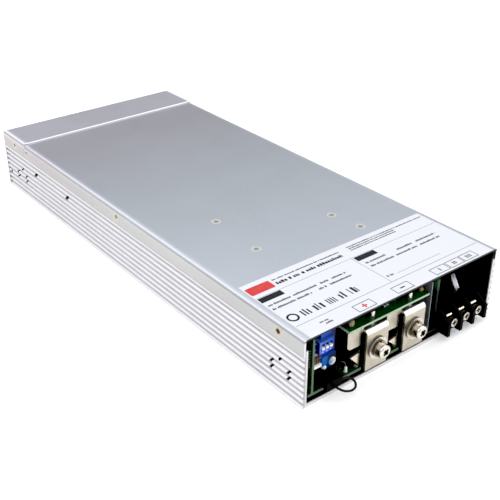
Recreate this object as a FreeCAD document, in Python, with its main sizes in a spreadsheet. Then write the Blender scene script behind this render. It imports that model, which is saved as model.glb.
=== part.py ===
import FreeCAD, Part
import math, os, re

# Low industrial power supply: a ribbed aluminium U-chassis under a folded
# cover, open at the front where the output terminals, the control connectors
# and the mains terminal stand, with three small fans behind the rear panel.
# Working frame: X across (right as seen from the front), Y from the front
# face (0) to the rear (case_l), Z up.  Every piece is shifted by -y_mid so
# that the origin lies under the middle of the case's outline.

V = FreeCAD.Vector
doc = FreeCAD.newDocument("power_supply")
sheet = doc.addObject("Spreadsheet::Sheet", "Sheet")

DIMS = (
    ("case_w", 140.0, "case width"),
    ("case_l", 325.0, "case length, front face to rear panel"),
    ("top_z", 41.0, "top of the rear strip"),
    ("lid_z", 40.0, "top of the cover"),
    ("y_mid", 159.1, "middle of the outline, measured from the front face"),
    ("sheet_thk", 1.0, "cover and rear panel sheet"),
    ("bend_out", 2.2, "outer bend radius of the sheet"),
    ("flange_low", 30.4, "lower edge of the side flanges"),
    ("seam_y", 292.0, "front edge of the rear strip"),
    ("lid_tail", 300.0, "rear end of the cover under the strip"),
    ("wall_in", 67.4, "inner face of the side walls"),
    ("wall_top", 38.9, "top of the side walls"),
    ("recess_x", 68.9, "wall face behind the cover flange"),
    ("recess_low", 30.2, "ledge under the cover flange"),
    ("wall_bevel", 1.1, "bevel at the wall's top, clear of the cover's bend"),
    ("floor_thk", 2.0, "floor thickness"),
    ("base_l", 324.0, "length of the extrusion"),
    ("rib_pitch", 3.6, "pitch of the side ribs"),
    ("rib_count", 8.0, "number of grooves a side"),
    ("groove_first", 2.1, "height of the lowest groove"),
    ("rib_depth", 1.25, "depth of the grooves"),
    ("groove_root", 0.5, "half width of a groove at its root"),
    ("groove_mouth", 1.3, "half width of a groove at its mouth"),
    ("notch_y", 6.0, "length of the notch in the wall's front end"),
    ("notch_z", 33.5, "lower edge of that notch"),
    ("tap_r", 1.65, "M4 tapping radius"),
    ("side_hole_z", 22.4, "height of the side M4 holes"),
    ("side_hole_a", 233.0, "first side M4 hole"),
    ("side_hole_b", 277.8, "second side M4 hole"),
    ("foot_hole_x", 50.0, "half spacing of the floor M4 holes"),
    ("foot_hole_a", 62.0, "front floor M4 holes"),
    ("foot_hole_b", 262.0, "rear floor M4 holes"),
    ("flange_screw_z", 35.3, "height of the flange screws"),
    ("flange_screw_a", 18.9, "front flange screw"),
    ("flange_screw_b", 168.5, "middle flange screw"),
    ("flange_screw_c", 307.2, "rear flange screw"),
    ("csk_r", 3.0, "countersunk head radius"),
    ("csk_h", 0.95, "countersunk head height"),
    ("m_three_r", 1.45, "M3 shank radius"),
    ("m_three_hole", 1.5, "hole that takes an M3 shank"),
    ("label_x", 66.0, "half width of the label"),
    ("label_back", 55.0, "rear edge of the label"),
    ("label_front", 0.12, "front edge of the label"),
    ("label_thk", 0.12, "label thickness"),
    ("film_thk", 0.35, "insulating sheet on the floor"),
    ("pcb_thk", 1.6, "circuit board thickness"),
    ("thin_thk", 1.25, "thickness of the output and control boards"),
    ("pcb_top", 5.6, "top of the main board"),
    ("pcb_front", 1.2, "front edge of the main board"),
    ("pcb_back", 292.0, "rear edge of the main board"),
    ("pcb_half", 65.5, "half width of the main board"),
    ("post_r", 3.0, "standoff radius"),
    ("pos_x", -21.1, "middle of the positive terminal"),
    ("neg_x", 6.0, "middle of the negative terminal"),
    ("plate_w", 15.0, "terminal plate width"),
    ("plate_thk", 1.5, "terminal plate thickness"),
    ("plate_front", -0.5, "front face of the terminal plate"),
    ("plate_low", 3.5, "lower edge of the terminal plate"),
    ("plate_top", 27.4, "top of the plate's tab"),
    ("plate_bend", 2.6, "outer bend radius of the terminal plate"),
    ("plate_tail", 6.5, "rear end of the tab"),
    ("bolt_z", 15.2, "height of the terminal bolts"),
    ("bolt_r", 2.45, "M5 shank radius"),
    ("flat_r", 6.2, "flat washer radius"),
    ("flat_thk", 1.0, "flat washer thickness"),
    ("spring_r", 4.6, "spring washer radius"),
    ("spring_thk", 1.3, "spring washer thickness"),
    ("head_r", 3.9, "bolt head radius"),
    ("head_h", 4.0, "bolt head height"),
    ("nut_c", 4.62, "nut, middle to corner"),
    ("nut_thk", 4.0, "nut thickness"),
    ("block_back", 2.4, "rear face of the terminal insulator"),
    ("block_top", 25.8, "top of the terminal insulator"),
    ("bar_thk", 1.3, "bus bar thickness"),
    ("upper_low", 29.55, "underside of the output board"),
    ("upper_front", 1.5, "front edge of the output board"),
    ("upper_back", 62.0, "rear edge of the output board"),
    ("upper_left", -39.2, "left edge of the output board"),
    ("upper_right", 18.0, "right edge of the output board"),
    ("side_pcb_x", -63.6, "left face of the control board"),
    ("side_pcb_back", 70.0, "rear edge of the control board"),
    ("side_pcb_top", 37.0, "top of the control board"),
    ("dip_x", -52.7, "middle of the switch"),
    ("dip_pitch", 2.54, "pitch of the switch ways"),
    ("dip_front", 3.0, "front face of the switch"),
    ("dip_low", 24.4, "lower edge of the switch"),
    ("dip_w", 9.4, "width of the switch"),
    ("dip_h", 7.0, "height of the switch"),
    ("dip_d", 5.6, "depth of the switch"),
    ("way_w", 1.6, "slider width"),
    ("way_h", 1.3, "slider height"),
    ("way_low", 26.9, "lower edge of a slider at rest"),
    ("way_gap", 0.15, "side clearance of a slider"),
    ("way_end", 0.3, "end clearance of a slider"),
    ("way_run", 1.6, "slider travel"),
    ("lug_y", 4.6, "output board screws, distance behind the front"),
    ("trim_x", -48.3, "middle of the adjuster"),
    ("trim_z", 17.0, "height of the adjuster's rotor"),
    ("trim_r", 2.25, "adjuster rotor radius"),
    ("plug_left", -57.0, "left face of the plug"),
    ("plug_right", -46.6, "right face of the plug"),
    ("plug_front", -3.0, "front face of the plug"),
    ("wire_r", 0.6, "jumper wire radius"),
    ("ac_x", 43.5, "middle of the mains terminal"),
    ("ac_pitch", 10.0, "pole pitch of the mains terminal"),
    ("ac_fin", 2.0, "barrier thickness"),
    ("ac_front", -6.3, "front of the barriers"),
    ("ac_face", -2.0, "front face of the mains terminal body"),
    ("ac_back", 8.0, "rear face of the mains terminal"),
    ("ac_low", 2.6, "lower edge of the mains terminal"),
    ("ac_seat", 11.5, "top of the mains terminal body"),
    ("ac_high", 16.0, "top of the barriers"),
    ("ac_screw_z", 9.0, "height of the mains screws"),
    ("disc_r", 4.3, "varistor radius"),
    ("fan_size", 36.0, "fan frame side"),
    ("fan_depth", 28.0, "fan frame depth"),
    ("fan_pitch", 42.0, "spacing of the fans"),
    ("fan_z", 20.4, "height of the fan axis"),
    ("fan_front", 296.0, "front face of the fans"),
    ("fan_bore", 17.2, "fan bore radius"),
    ("fan_hub", 9.5, "rotor hub radius"),
    ("fan_tip", 16.6, "blade tip radius"),
    ("fan_shaft", 1.0, "rotor shaft radius"),
    ("fan_bearing", 1.05, "bearing bore radius"),
    ("fan_screw", 15.0, "half spacing of the fan screws"),
)
NAMES = set()
for row, (alias, value, note) in enumerate(DIMS, 1):
    sheet.set("A%d" % row, note)
    sheet.set("B%d" % row, repr(value))
    sheet.setAlias("B%d" % row, alias)
    NAMES.add(alias)
doc.recompute()

WORD = re.compile(r"[a-z][a-z_]*")


def bind(text):
    """A formula in the sheet's names, written for an expression."""
    return WORD.sub(lambda m: "Sheet." + m.group(0) if m.group(0) in NAMES else m.group(0), str(text))


def size(alias):
    return float(sheet.get(alias))


NODES = {}


def node(obj, label):
    obj.Label = label
    NODES[label] = obj
    return obj


count = [0]


def fresh(stem):
    count[0] += 1
    return "%s_%03d" % (stem, count[0])


def place(obj, x, y, z):
    obj.setExpression("Placement.Base.x", bind(x))
    obj.setExpression("Placement.Base.y", bind("(%s)-y_mid" % y))
    obj.setExpression("Placement.Base.z", bind(z))


def box(x0, x1, y0, y1, z0, z1):
    o = doc.addObject("Part::Box", fresh("box"))
    o.setExpression("Length", bind("(%s)-(%s)" % (x1, x0)))
    o.setExpression("Width", bind("(%s)-(%s)" % (y1, y0)))
    o.setExpression("Height", bind("(%s)-(%s)" % (z1, z0)))
    place(o, x0, y0, z0)
    return o


AXES = {
    "+x": ((1, 0, 0), FreeCAD.Rotation(V(0, 1, 0), 90)),
    "-x": ((-1, 0, 0), FreeCAD.Rotation(V(0, 1, 0), -90)),
    "+y": ((0, 1, 0), FreeCAD.Rotation(V(1, 0, 0), -90)),
    "-y": ((0, -1, 0), FreeCAD.Rotation(V(1, 0, 0), 90)),
    "+z": ((0, 0, 1), FreeCAD.Rotation()),
    "-z": ((0, 0, -1), FreeCAD.Rotation(V(1, 0, 0), 180)),
}


def along(at, axis, off):
    d = AXES[axis][0]
    return ["(%s)+(%s)*(%d)" % (c, off, k) if k else "(%s)" % c for c, k in zip(at, d)]


def cyl(at, axis, r, high, off=0):
    o = doc.addObject("Part::Cylinder", fresh("cyl"))
    o.setExpression("Radius", bind(r))
    o.setExpression("Height", bind(high))
    o.Placement = FreeCAD.Placement(V(), AXES[axis][1])
    place(o, *along(at, axis, off))
    return o


def cone(at, axis, r_near, r_far, high, off=0):
    o = doc.addObject("Part::Cone", fresh("cone"))
    o.setExpression("Radius1", bind(r_near))
    o.setExpression("Radius2", bind(r_far))
    o.setExpression("Height", bind(high))
    o.Placement = FreeCAD.Placement(V(), AXES[axis][1])
    place(o, *along(at, axis, off))
    return o


def hexagon(at, axis, c, high, off=0):
    o = doc.addObject("Part::Prism", fresh("hex"))
    o.Polygon = 6
    o.setExpression("Circumradius", bind(c))
    o.setExpression("Height", bind(high))
    o.Placement = FreeCAD.Placement(V(), AXES[axis][1])
    place(o, *along(at, axis, off))
    return o


def group(parts):
    o = doc.addObject("Part::Compound", fresh("group"))
    o.Links = list(parts)
    return o


def fuse(*parts):
    if len(parts) == 1:
        return parts[0]
    o = doc.addObject("Part::MultiFuse", fresh("fuse"))
    o.Shapes = list(parts)
    o.Refine = True
    return o


def cut(base, *tools):
    o = doc.addObject("Part::Cut", fresh("cut"))
    o.Base = base
    o.Tool = tools[0] if len(tools) == 1 else group(tools)
    return o


def common(a, b):
    o = doc.addObject("Part::Common", fresh("common"))
    o.Base = a
    o.Tool = b
    return o


def round_edges(base, alias, pick):
    """A fillet of one sheet radius on the edges that pick accepts."""
    doc.recompute()
    o = doc.addObject("Part::Fillet", fresh("round"))
    o.Base = base
    r = size(alias) if isinstance(alias, str) else alias
    o.Edges = [(i, r, r) for i, e in enumerate(base.Shape.Edges, 1) if pick(e)]
    return o


def cross(at, axis, span, width, deep):
    """The two slots of a cross recess, cut into a head whose outer face is at."""
    d = AXES[axis][0]
    out = []
    for wide, tall in ((span, width), (width, span)):
        spans = []
        flat = [wide, tall]
        for c, k in zip(at, d):
            if k == 0:
                s = flat.pop(0)
                spans += ["(%s)-%s/2" % (c, s), "(%s)+%s/2" % (c, s)]
            elif k > 0:
                spans += ["(%s)-%s" % (c, deep), "(%s)+1" % c]
            else:
                spans += ["(%s)-1" % c, "(%s)+%s" % (c, deep)]
        out.append(box(*spans))
    return out


def back(axis):
    return ("-" if axis[0] == "+" else "+") + axis[1]


def flush_screw(at, axis, shank_r, length, head="csk_r", deep="csk_h", span=2.9):
    """A countersunk screw: its head's outer face is at, its shank runs inwards."""
    inward = back(axis)
    head_o = cone(at, inward, head, shank_r, deep)
    shank = cyl(at, inward, shank_r, length, deep)
    return cut(fuse(head_o, shank), *cross(at, axis, span, 0.7, 0.6))


def pan_screw(at, axis, head_r, head_h, shank_r, length, span):
    """A cheese-head screw seated on the face at, its shank runs inwards."""
    head_o = cyl(at, axis, head_r, head_h)
    shank = cyl(at, back(axis), shank_r, length)
    face = along(at, axis, head_h)
    return cut(fuse(head_o, shank), *cross(face, axis, span, 0.9, 0.9))


def sink(at, axis, through, extra=0.05):
    """The countersunk hole that a flush screw sits in."""
    inward = back(axis)
    wide = cone(at, inward, "csk_r+%s" % extra, "m_three_hole", "csk_h")
    return [wide, cyl(at, inward, "m_three_hole", through, -0.5)]


def plane(body, role):
    return [o for o in body.Origin.OriginFeatures if o.Role == role][0]


def sketch(body, role, name):
    s = body.newObject("Sketcher::SketchObject", name)
    s.AttachmentSupport = [(plane(body, role), "")]
    s.MapMode = "FlatFace"
    return s


def outline(s, pts):
    for i in range(len(pts)):
        a, b = pts[i], pts[(i + 1) % len(pts)]
        s.addGeometry(Part.LineSegment(V(a[0], a[1], 0), V(b[0], b[1], 0)))


def ring(s, x, y, r):
    s.addGeometry(Part.Circle(V(x, y, 0), V(0, 0, 1), r))


def through_both(pocket):
    pocket.Type = "ThroughAll"
    if "SideType" in pocket.PropertiesList:
        pocket.SideType = "Symmetric"
    else:
        pocket.Midplane = True


# ---------------------------------------------------------------- chassis
# One extrusion: floor, two walls with eight trapezoid grooves on each outer
# face, and a rebate at the top of each wall for the cover's flange.
half = size("case_w") / 2
right = [(half, 0.0)]
for k in range(int(size("rib_count"))):
    zc = size("groove_first") + k * size("rib_pitch")
    right += [(half, zc - size("groove_mouth")), (half - size("rib_depth"), zc - size("groove_root")),
              (half - size("rib_depth"), zc + size("groove_root")), (half, zc + size("groove_mouth"))]
right += [(half, size("recess_low")), (size("recess_x"), size("recess_low")),
          (size("recess_x"), size("wall_top") - size("wall_bevel")), (size("recess_x") - size("wall_bevel"), size("wall_top")),
          (size("wall_in"), size("wall_top")),
          (size("wall_in"), size("floor_thk"))]
section = right + [(-x, z) for x, z in reversed(right)]
chassis = doc.addObject("PartDesign::Body", "chassis")
sk = sketch(chassis, "XZ_Plane", "chassis_section")
outline(sk, section)
pad = chassis.newObject("PartDesign::Pad", "chassis_extrusion")
pad.Profile = sk
pad.setExpression("Length", "Sheet.base_l")
pad.Reversed = True
doc.recompute()
solid = chassis.Shape.Volume
# side openings, the same in both walls: M4 holes, flange screw holes, two
# clusters of leaning bracket slots, and the notch at the front end
sk = sketch(chassis, "YZ_Plane", "wall_openings")
for y in ("side_hole_a", "side_hole_b"):
    ring(sk, size(y), size("side_hole_z"), size("tap_r"))
for y in ("flange_screw_a", "flange_screw_b", "flange_screw_c"):
    ring(sk, size(y), size("flange_screw_z"), size("m_three_hole"))
for mid, low, eye in ((17.6, 14.9, 17.8), (301.3, 14.7, 299.9)):
    ring(sk, eye, low + (4.7 if mid < 100 else 4.5), 0.95)
    for y, z in ((mid - 6.4, low), (mid - 6.4, low - 3.7), (mid + 6.5, low), (mid + 6.4, low - 3.7)):
        outline(sk, [(y - 0.47 * a + 0.88 * b, z + 0.88 * a + 0.47 * b)
                     for a, b in ((-2.0, -0.75), (-2.0, 0.75), (2.0, 0.75), (2.0, -0.75))])
outline(sk, [(-2.0, size("notch_z")), (size("notch_y"), size("notch_z")), (size("notch_y"), 45.0), (-2.0, 45.0)])
pocket = chassis.newObject("PartDesign::Pocket", "wall_cuts")
pocket.Profile = sk
through_both(pocket)
doc.recompute()
assert chassis.Shape.Volume < solid - 100
solid = chassis.Shape.Volume
sk = sketch(chassis, "XY_Plane", "floor_openings")
for x in (-1, 1):
    for y in ("foot_hole_a", "foot_hole_b"):
        ring(sk, x * size("foot_hole_x"), size(y), size("tap_r"))
pocket = chassis.newObject("PartDesign::Pocket", "floor_cuts")
pocket.Profile = sk
through_both(pocket)
doc.recompute()
assert chassis.Shape.Volume < solid - 50
chassis.setExpression("Placement.Base.y", "-Sheet.y_mid")
marks = [cyl((sx, 318.9, 10.9), ax, 1.2, 1.0, -0.2) for sx, ax in (("-case_w/2", "+x"), ("case_w/2", "-x"))]
node(cut(chassis, *marks), "base_chassis")

# ---------------------------------------------------------------- cover
def along_y(e):
    return abs(e.tangentAt(e.FirstParameter).y) > 0.99


def top_long(z):
    return lambda e: along_y(e) and abs(e.CenterOfMass.z - z) < 1e-6


outer = round_edges(box("-case_w/2", "case_w/2", 0, "seam_y-0.4", 20, "lid_z"), "bend_out", top_long(size("lid_z")))
inner = round_edges(box("-case_w/2+sheet_thk", "case_w/2-sheet_thk", -1, "seam_y+1", 10, "lid_z-sheet_thk"),
                    size("bend_out") - size("sheet_thk"), top_long(size("lid_z") - size("sheet_thk")))
skin = cut(outer, inner, box(-80, 80, -1, "seam_y+1", 10, "flange_low"))
tail = box(-66, 66, "seam_y-1", "lid_tail", "lid_z-sheet_thk", "lid_z")
TOP_SCREWS = ((-32.3, 119.6), (-34.0, 80.5), (25.4, 84.5), (28.8, 64.0))
tools = []
for x, y in TOP_SCREWS:
    tools += sink((x, y, "lid_z"), "+z", 3)
for sx, ax in (("-case_w/2", "-x"), ("case_w/2", "+x")):
    for y in ("flange_screw_a", "flange_screw_b"):
        tools += sink((sx, y, "flange_screw_z"), ax, 2.5)
    tools.append(cyl((sx, 288.9, 35.5), back(ax), 0.9, 0.7, -0.2))
node(cut(fuse(skin, tail), *tools), "top_cover")

# ---------------------------------------------------------------- rear panel
def rear_bends(z, y):
    def pick(e):
        m = e.CenterOfMass
        if abs(m.z - z) > 1e-6:
            return False
        return along_y(e) or abs(m.y - y) < 1e-6
    return pick


shift = size("y_mid")
outer = round_edges(box("-case_w/2", "case_w/2", "seam_y", "case_l", 0, "top_z"), "bend_out",
                    rear_bends(size("top_z"), size("case_l") - shift))
inner = round_edges(box("-case_w/2+sheet_thk", "case_w/2-sheet_thk", "seam_y-5", "case_l-sheet_thk", -5, "top_z-sheet_thk"),
                    size("bend_out") - size("sheet_thk"), rear_bends(size("top_z") - size("sheet_thk"), size("case_l") - size("sheet_thk") - shift))
panel = cut(outer, inner, box(-80, 80, "seam_y-5", "case_l-sheet_thk", -5, "flange_low"))


def front_rim(e):
    """The outer edges of the strip's front end, rolled over."""
    b = e.BoundBox
    if max(abs(b.YMin - size("seam_y") + shift), abs(b.YMax - size("seam_y") + shift)) > 1e-6:
        return False
    side = size("case_w") / 2
    m = e.valueAt((e.FirstParameter + e.LastParameter) / 2)
    if abs(m.z - size("top_z")) < 1e-6 or abs(abs(m.x) - side) < 1e-6:
        return True
    r = math.hypot(abs(m.x) - side + size("bend_out"), m.z - size("top_z") + size("bend_out"))
    return abs(r - size("bend_out")) < 1e-6


panel = round_edges(panel, 0.95, front_rim)
tools = []
FANS = (-1, 0, 1)
for k in FANS:
    at = ("%d*fan_pitch" % k, "case_l", "fan_z")
    rings = []
    for r0, r1 in ((3.6, 6.6), (7.8, 10.8), (12.0, 15.0)):
        rings.append(cut(cyl(at, "-y", r1, 3, -1), cyl(at, "-y", r0, 5, -2)))
    bars = [box("%d*fan_pitch-17" % k, "%d*fan_pitch+17" % k, "case_l-4", "case_l+4", "fan_z-0.9", "fan_z+0.9"),
            box("%d*fan_pitch-0.9" % k, "%d*fan_pitch+0.9" % k, "case_l-4", "case_l+4", "fan_z-17", "fan_z+17")]
    tools.append(cut(group(rings), *bars))
    for sx in (-1, 1):
        for sz in (-1, 1):
            hole = ("%d*fan_pitch+%d*fan_screw" % (k, sx), "case_l", "fan_z+%d*fan_screw" % sz)
            tools += [cone(hole, "-y", 2.25, 1.35, 0.95), cyl(hole, "-y", 1.35, 3, -0.5)]
for sx, ax in (("-case_w/2", "-x"), ("case_w/2", "+x")):
    tools += sink((sx, "flange_screw_c", "flange_screw_z"), ax, 2.5)
node(cut(panel, *tools), "rear_panel")

# ---------------------------------------------------------------- label and case screws
node(box("-label_x", "label_x", "label_front", "label_back", "lid_z", "lid_z+label_thk"), "rating_label")
screws = []
for sx, ax in (("-case_w/2", "-x"), ("case_w/2", "+x")):
    for y in ("flange_screw_a", "flange_screw_b", "flange_screw_c"):
        screws.append(flush_screw((sx, y, "flange_screw_z"), ax, "m_three_r", 2.4))
node(group(screws), "cover_side_screws")
node(group([flush_screw((x, y, "lid_z"), "+z", "m_three_r", 5) for x, y in TOP_SCREWS]), "cover_top_screws")

# ---------------------------------------------------------------- boards and sheets
POSTS = ((-56, 82), (58, 66), (-56, 140), (58, 140), (-46, 205), (58, 215), (-56, 280), (58, 280), (-43, 20), (62, 45))
inside = "wall_in-0.1"
lining = fuse(box("-(%s)" % inside, inside, 0.6, "pcb_back", "floor_thk", "floor_thk+film_thk"),
              box("-(%s)" % inside, "-(%s)+film_thk" % inside, 0.6, "pcb_back", "floor_thk", 37.5),
              box("%s-film_thk" % inside, inside, 0.6, "pcb_back", "floor_thk", 37.5))
tools = [cyl((x, y, 0), "+z", "post_r+0.3", 4) for x, y in POSTS]
for sx in (-1, 1):
    for y in ("foot_hole_a", "foot_hole_b"):
        tools.append(cyl(("%d*foot_hole_x" % sx, y, 0), "+z", 3, 4))
tools += [cyl((-80, y, "flange_screw_z"), "+x", 2.1, 160) for y in ("flange_screw_a", "flange_screw_b")]
tools += [cyl((-80, y, "side_hole_z"), "+x", 3, 160) for y in ("side_hole_a", "side_hole_b")]
node(cut(lining, *tools), "base_insulation_sheet")
node(box(18.6, 19.1, 0.8, 70, "pcb_top", 37.2), "divider_sheet")

board = box("-pcb_half", "pcb_half", "pcb_front", "pcb_back", "pcb_top-pcb_thk", "pcb_top")
tools = [cyl((x, y, 0), "+z", 1.6, 9) for x, y in POSTS]
for xc in ("pos_x", "neg_x"):
    bay = box("%s-plate_w/2-1.1" % xc, "%s+plate_w/2+1.1" % xc, -4, 7.2, 0, 9)
    tools.append(round_edges(bay, 2.0, lambda e: abs(e.tangentAt(e.FirstParameter).z) > 0.99 and e.CenterOfMass.y > -size("y_mid") + 5))
board = cut(board, *tools)
node(board, "main_pcb")
node(box("side_pcb_x", "side_pcb_x+thin_thk", 1.0, "side_pcb_back", "pcb_top", "side_pcb_top"), "control_pcb")
upper = box("upper_left", "upper_right", "upper_front", "upper_back", "upper_low", "upper_low+thin_thk")
node(cut(upper, cyl(("pos_x", "lug_y", 20), "+z", 1.6, 15), cyl(("neg_x", "lug_y", 20), "+z", 1.6, 15)), "output_pcb")
node(box(25.2, 26.8, 2.5, 40, "pcb_top", 35), "ac_sense_pcb")
node(group([cut(cyl((x, y, "floor_thk"), "+z", "post_r", "pcb_top-pcb_thk-floor_thk"),
                cyl((x, y, "floor_thk"), "+z", "m_three_hole", 5, -1)) for x, y in POSTS]), "pcb_standoffs")
node(group([pan_screw((x, y, "pcb_top"), "+z", 2.8, 2.0, "m_three_r", 3.2, 3.0) for x, y in POSTS]), "pcb_screws")
studs = []
for xc in ("pos_x", "neg_x"):
    foot = (xc, "lug_y", "plate_top-plate_thk+0.1")
    studs.append(fuse(cyl(foot, "+z", "m_three_r", 8.0), cone(foot, "+z", "m_three_r", "m_three_r-0.4", 0.4, 8.0)))
node(group(studs), "output_pcb_screws")

# ---------------------------------------------------------------- output terminals
def terminal_plate(name, xc, label):
    """A strip folded back over its insulator: front face, bend and level tab."""
    yf, th, r = size("plate_front"), size("plate_thk"), size("plate_bend")
    z0, z1, yt = size("plate_low"), size("plate_top"), size("plate_tail")
    body = doc.addObject("PartDesign::Body", name)
    s = sketch(body, "YZ_Plane", name + "_fold")
    c = V(yf + r, z1 - r, 0)
    k = math.sqrt(0.5)

    def line(a, b):
        s.addGeometry(Part.LineSegment(V(a[0], a[1], 0), V(b[0], b[1], 0)))

    def bend(rad):
        s.addGeometry(Part.Arc(V(c.x - rad, c.y, 0), V(c.x - rad * k, c.y + rad * k, 0), V(c.x, c.y + rad, 0)))

    line((yf, z0), (yf, z1 - r))
    bend(r)
    line((yf + r, z1), (yt, z1))
    line((yt, z1), (yt, z1 - th))
    line((yt, z1 - th), (yf + r, z1 - th))
    bend(r - th)
    line((yf + th, z1 - r), (yf + th, z0))
    line((yf + th, z0), (yf, z0))
    p = body.newObject("PartDesign::Pad", name + "_strip")
    p.Profile = s
    p.setExpression("Length", "Sheet.plate_w")
    if "SideType" in p.PropertiesList:
        p.SideType = "Symmetric"
    else:
        p.Midplane = True
    doc.recompute()
    full = body.Shape.Volume
    s = sketch(body, "XZ_Plane", name + "_bolt_hole")
    ring(s, 0, size("bolt_z"), size("bolt_r") + 0.3)
    q = body.newObject("PartDesign::Pocket", name + "_bolt_cut")
    q.Profile = s
    through_both(q)
    s = sketch(body, "XY_Plane", name + "_tab_hole")
    ring(s, 0, size("lug_y"), size("m_three_r"))
    q = body.newObject("PartDesign::Pocket", name + "_tab_cut")
    q.Profile = s
    through_both(q)
    doc.recompute()
    assert body.Shape.Volume < full - 30
    body.setExpression("Placement.Base.x", bind(xc))
    body.setExpression("Placement.Base.y", "-Sheet.y_mid")
    node(body, label)


def turned_slot(at, span, width, deep, angle):
    """A slot across a head that faces -Y, turned about the head's axis."""
    o = doc.addObject("Part::Box", fresh("slot"))
    o.Length, o.Width, o.Height = span, deep + 1.0, width
    turn = FreeCAD.Rotation(V(0, 1, 0), -angle)
    off = turn.multVec(V(-span / 2, -1.0, -width / 2))
    o.Placement = FreeCAD.Placement(V(), turn)
    place(o, "(%s)+(%.6f)" % (at[0], off.x), "(%s)+(%.6f)" % (at[1], off.y), "(%s)+(%.6f)" % (at[2], off.z))
    return o


def bolt(name, xc, angle):
    """Pan head and shank turned about the bolt's axis, with a cross recess."""
    body = doc.addObject("PartDesign::Body", name)
    s = sketch(body, "XY_Plane", name + "_profile")
    seat = size("plate_front") - size("flat_thk") - size("spring_thk")
    tip = seat - size("head_h")
    hr, sr, end = size("head_r"), size("bolt_r"), size("block_back") + size("bar_thk") + size("nut_thk") + 0.7
    face = hr - 1.5

    def line(a, b):
        s.addGeometry(Part.LineSegment(V(a[0], a[1], 0), V(b[0], b[1], 0)))

    line((0, tip), (face, tip))
    s.addGeometry(Part.Arc(V(face, tip, 0), V(face + 1.5 * math.sqrt(0.5), tip + 1.5 * (1 - math.sqrt(0.5)), 0), V(hr, tip + 1.5, 0)))
    line((hr, tip + 1.5), (hr, seat))
    line((hr, seat), (sr, seat))
    line((sr, seat), (sr, end))
    line((sr, end), (0, end))
    line((0, end), (0, tip))
    rev = body.newObject("PartDesign::Revolution", name + "_turned")
    rev.Profile = s
    rev.ReferenceAxis = (s, ["V_Axis"])
    rev.Angle = 360
    body.setExpression("Placement.Base.x", bind(xc))
    body.setExpression("Placement.Base.y", "-Sheet.y_mid")
    body.setExpression("Placement.Base.z", "Sheet.bolt_z")
    doc.recompute()
    assert body.Shape.Volume > 200
    at = (xc, "plate_front-flat_thk-spring_thk-head_h", "bolt_z")
    return cut(body, turned_slot(at, 3.9, 1.6, 2.2, angle), turned_slot(at, 3.9, 1.6, 2.2, angle + 90))


def bus_bar(name, xc, label, drop):
    """A plate clamped behind the insulator: one wing runs up beside the block
    to the output board, a pointed one lies below it."""
    body = doc.addObject("PartDesign::Body", name)
    s = sketch(body, "XZ_Plane", name + "_outline")
    high, low = size("upper_low") - 0.05, size("pcb_top") + 0.1
    outline(s, [(-7.6, high), (-18.1, high), (-18.1, 21.2), (-17.9, 20.2), (-17.3, 19.4), (-16.5, 18.8), (-15.5, 18.6),
                (-8.2, 18.6), (-8.2, 14.4 - drop), (-15.4, 13.2 - drop), (-8.4, low), (7.4, low), (7.4, 25.4), (-7.6, 25.4)])
    ring(s, 0, size("bolt_z"), size("bolt_r") + 0.3)
    p = body.newObject("PartDesign::Pad", name + "_plate")
    p.Profile = s
    p.setExpression("Length", "Sheet.bar_thk")
    p.Reversed = True
    body.setExpression("Placement.Base.x", bind(xc))
    body.setExpression("Placement.Base.y", bind("block_back+0.1-y_mid"))
    doc.recompute()
    assert body.Shape.Volume > 300
    node(body, label)


bolts, springs, flats, nuts = [], [], [], []
for tag, xc in (("pos", "pos_x"), ("neg", "neg_x")):
    terminal_plate("plate_" + tag, xc, "terminal_plate_" + tag)
    face = (xc, "plate_front", "bolt_z")
    bolts.append(bolt("bolt_" + tag, xc, 43.0 if tag == "pos" else 36.0))
    flats.append(cut(cyl(face, "-y", "flat_r", "flat_thk"), cyl(face, "-y", "bolt_r+0.2", 4, -1)))
    split = box("%s-0.5" % xc, "%s+0.5" % xc, -6, 2, "bolt_z", "bolt_z+8")
    springs.append(cut(cyl(face, "-y", "spring_r", "spring_thk", "flat_thk"), cyl(face, "-y", "bolt_r+0.15", 6, -1), split))
    rear = (xc, "block_back+0.1+bar_thk", "bolt_z")
    nuts.append(cut(hexagon(rear, "+y", "nut_c", "nut_thk"), cyl(rear, "+y", "bolt_r+0.05", 8, -2)))
    block = box("%s-plate_w/2" % xc, "%s+plate_w/2" % xc, "plate_front+plate_thk", "block_back", "floor_thk+film_thk", "block_top")
    block = round_edges(block, 1.3, lambda e: abs(e.CenterOfMass.z - size("block_top")) < 1e-6
                        and e.CenterOfMass.y < size("plate_front") + size("plate_thk") - size("y_mid") + 0.1)
    cheek = box("%s-plate_w/2-1.5" % xc, "%s-plate_w/2+1" % xc, "plate_front+plate_thk+0.2", "block_back", "pcb_top+0.6", "block_top-0.6")
    node(cut(fuse(block, cheek), cyl(rear, "+y", "bolt_r+0.2", 12, -6)), "terminal_insulator_" + tag)
    bus_bar("bar_" + tag, xc, "busbar_" + tag, 0.0 if tag == "pos" else 1.7)
node(group(bolts), "terminal_bolts")
node(group(springs), "terminal_spring_washers")
node(group(flats), "terminal_flat_washers")
node(group(nuts), "terminal_nuts")

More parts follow.
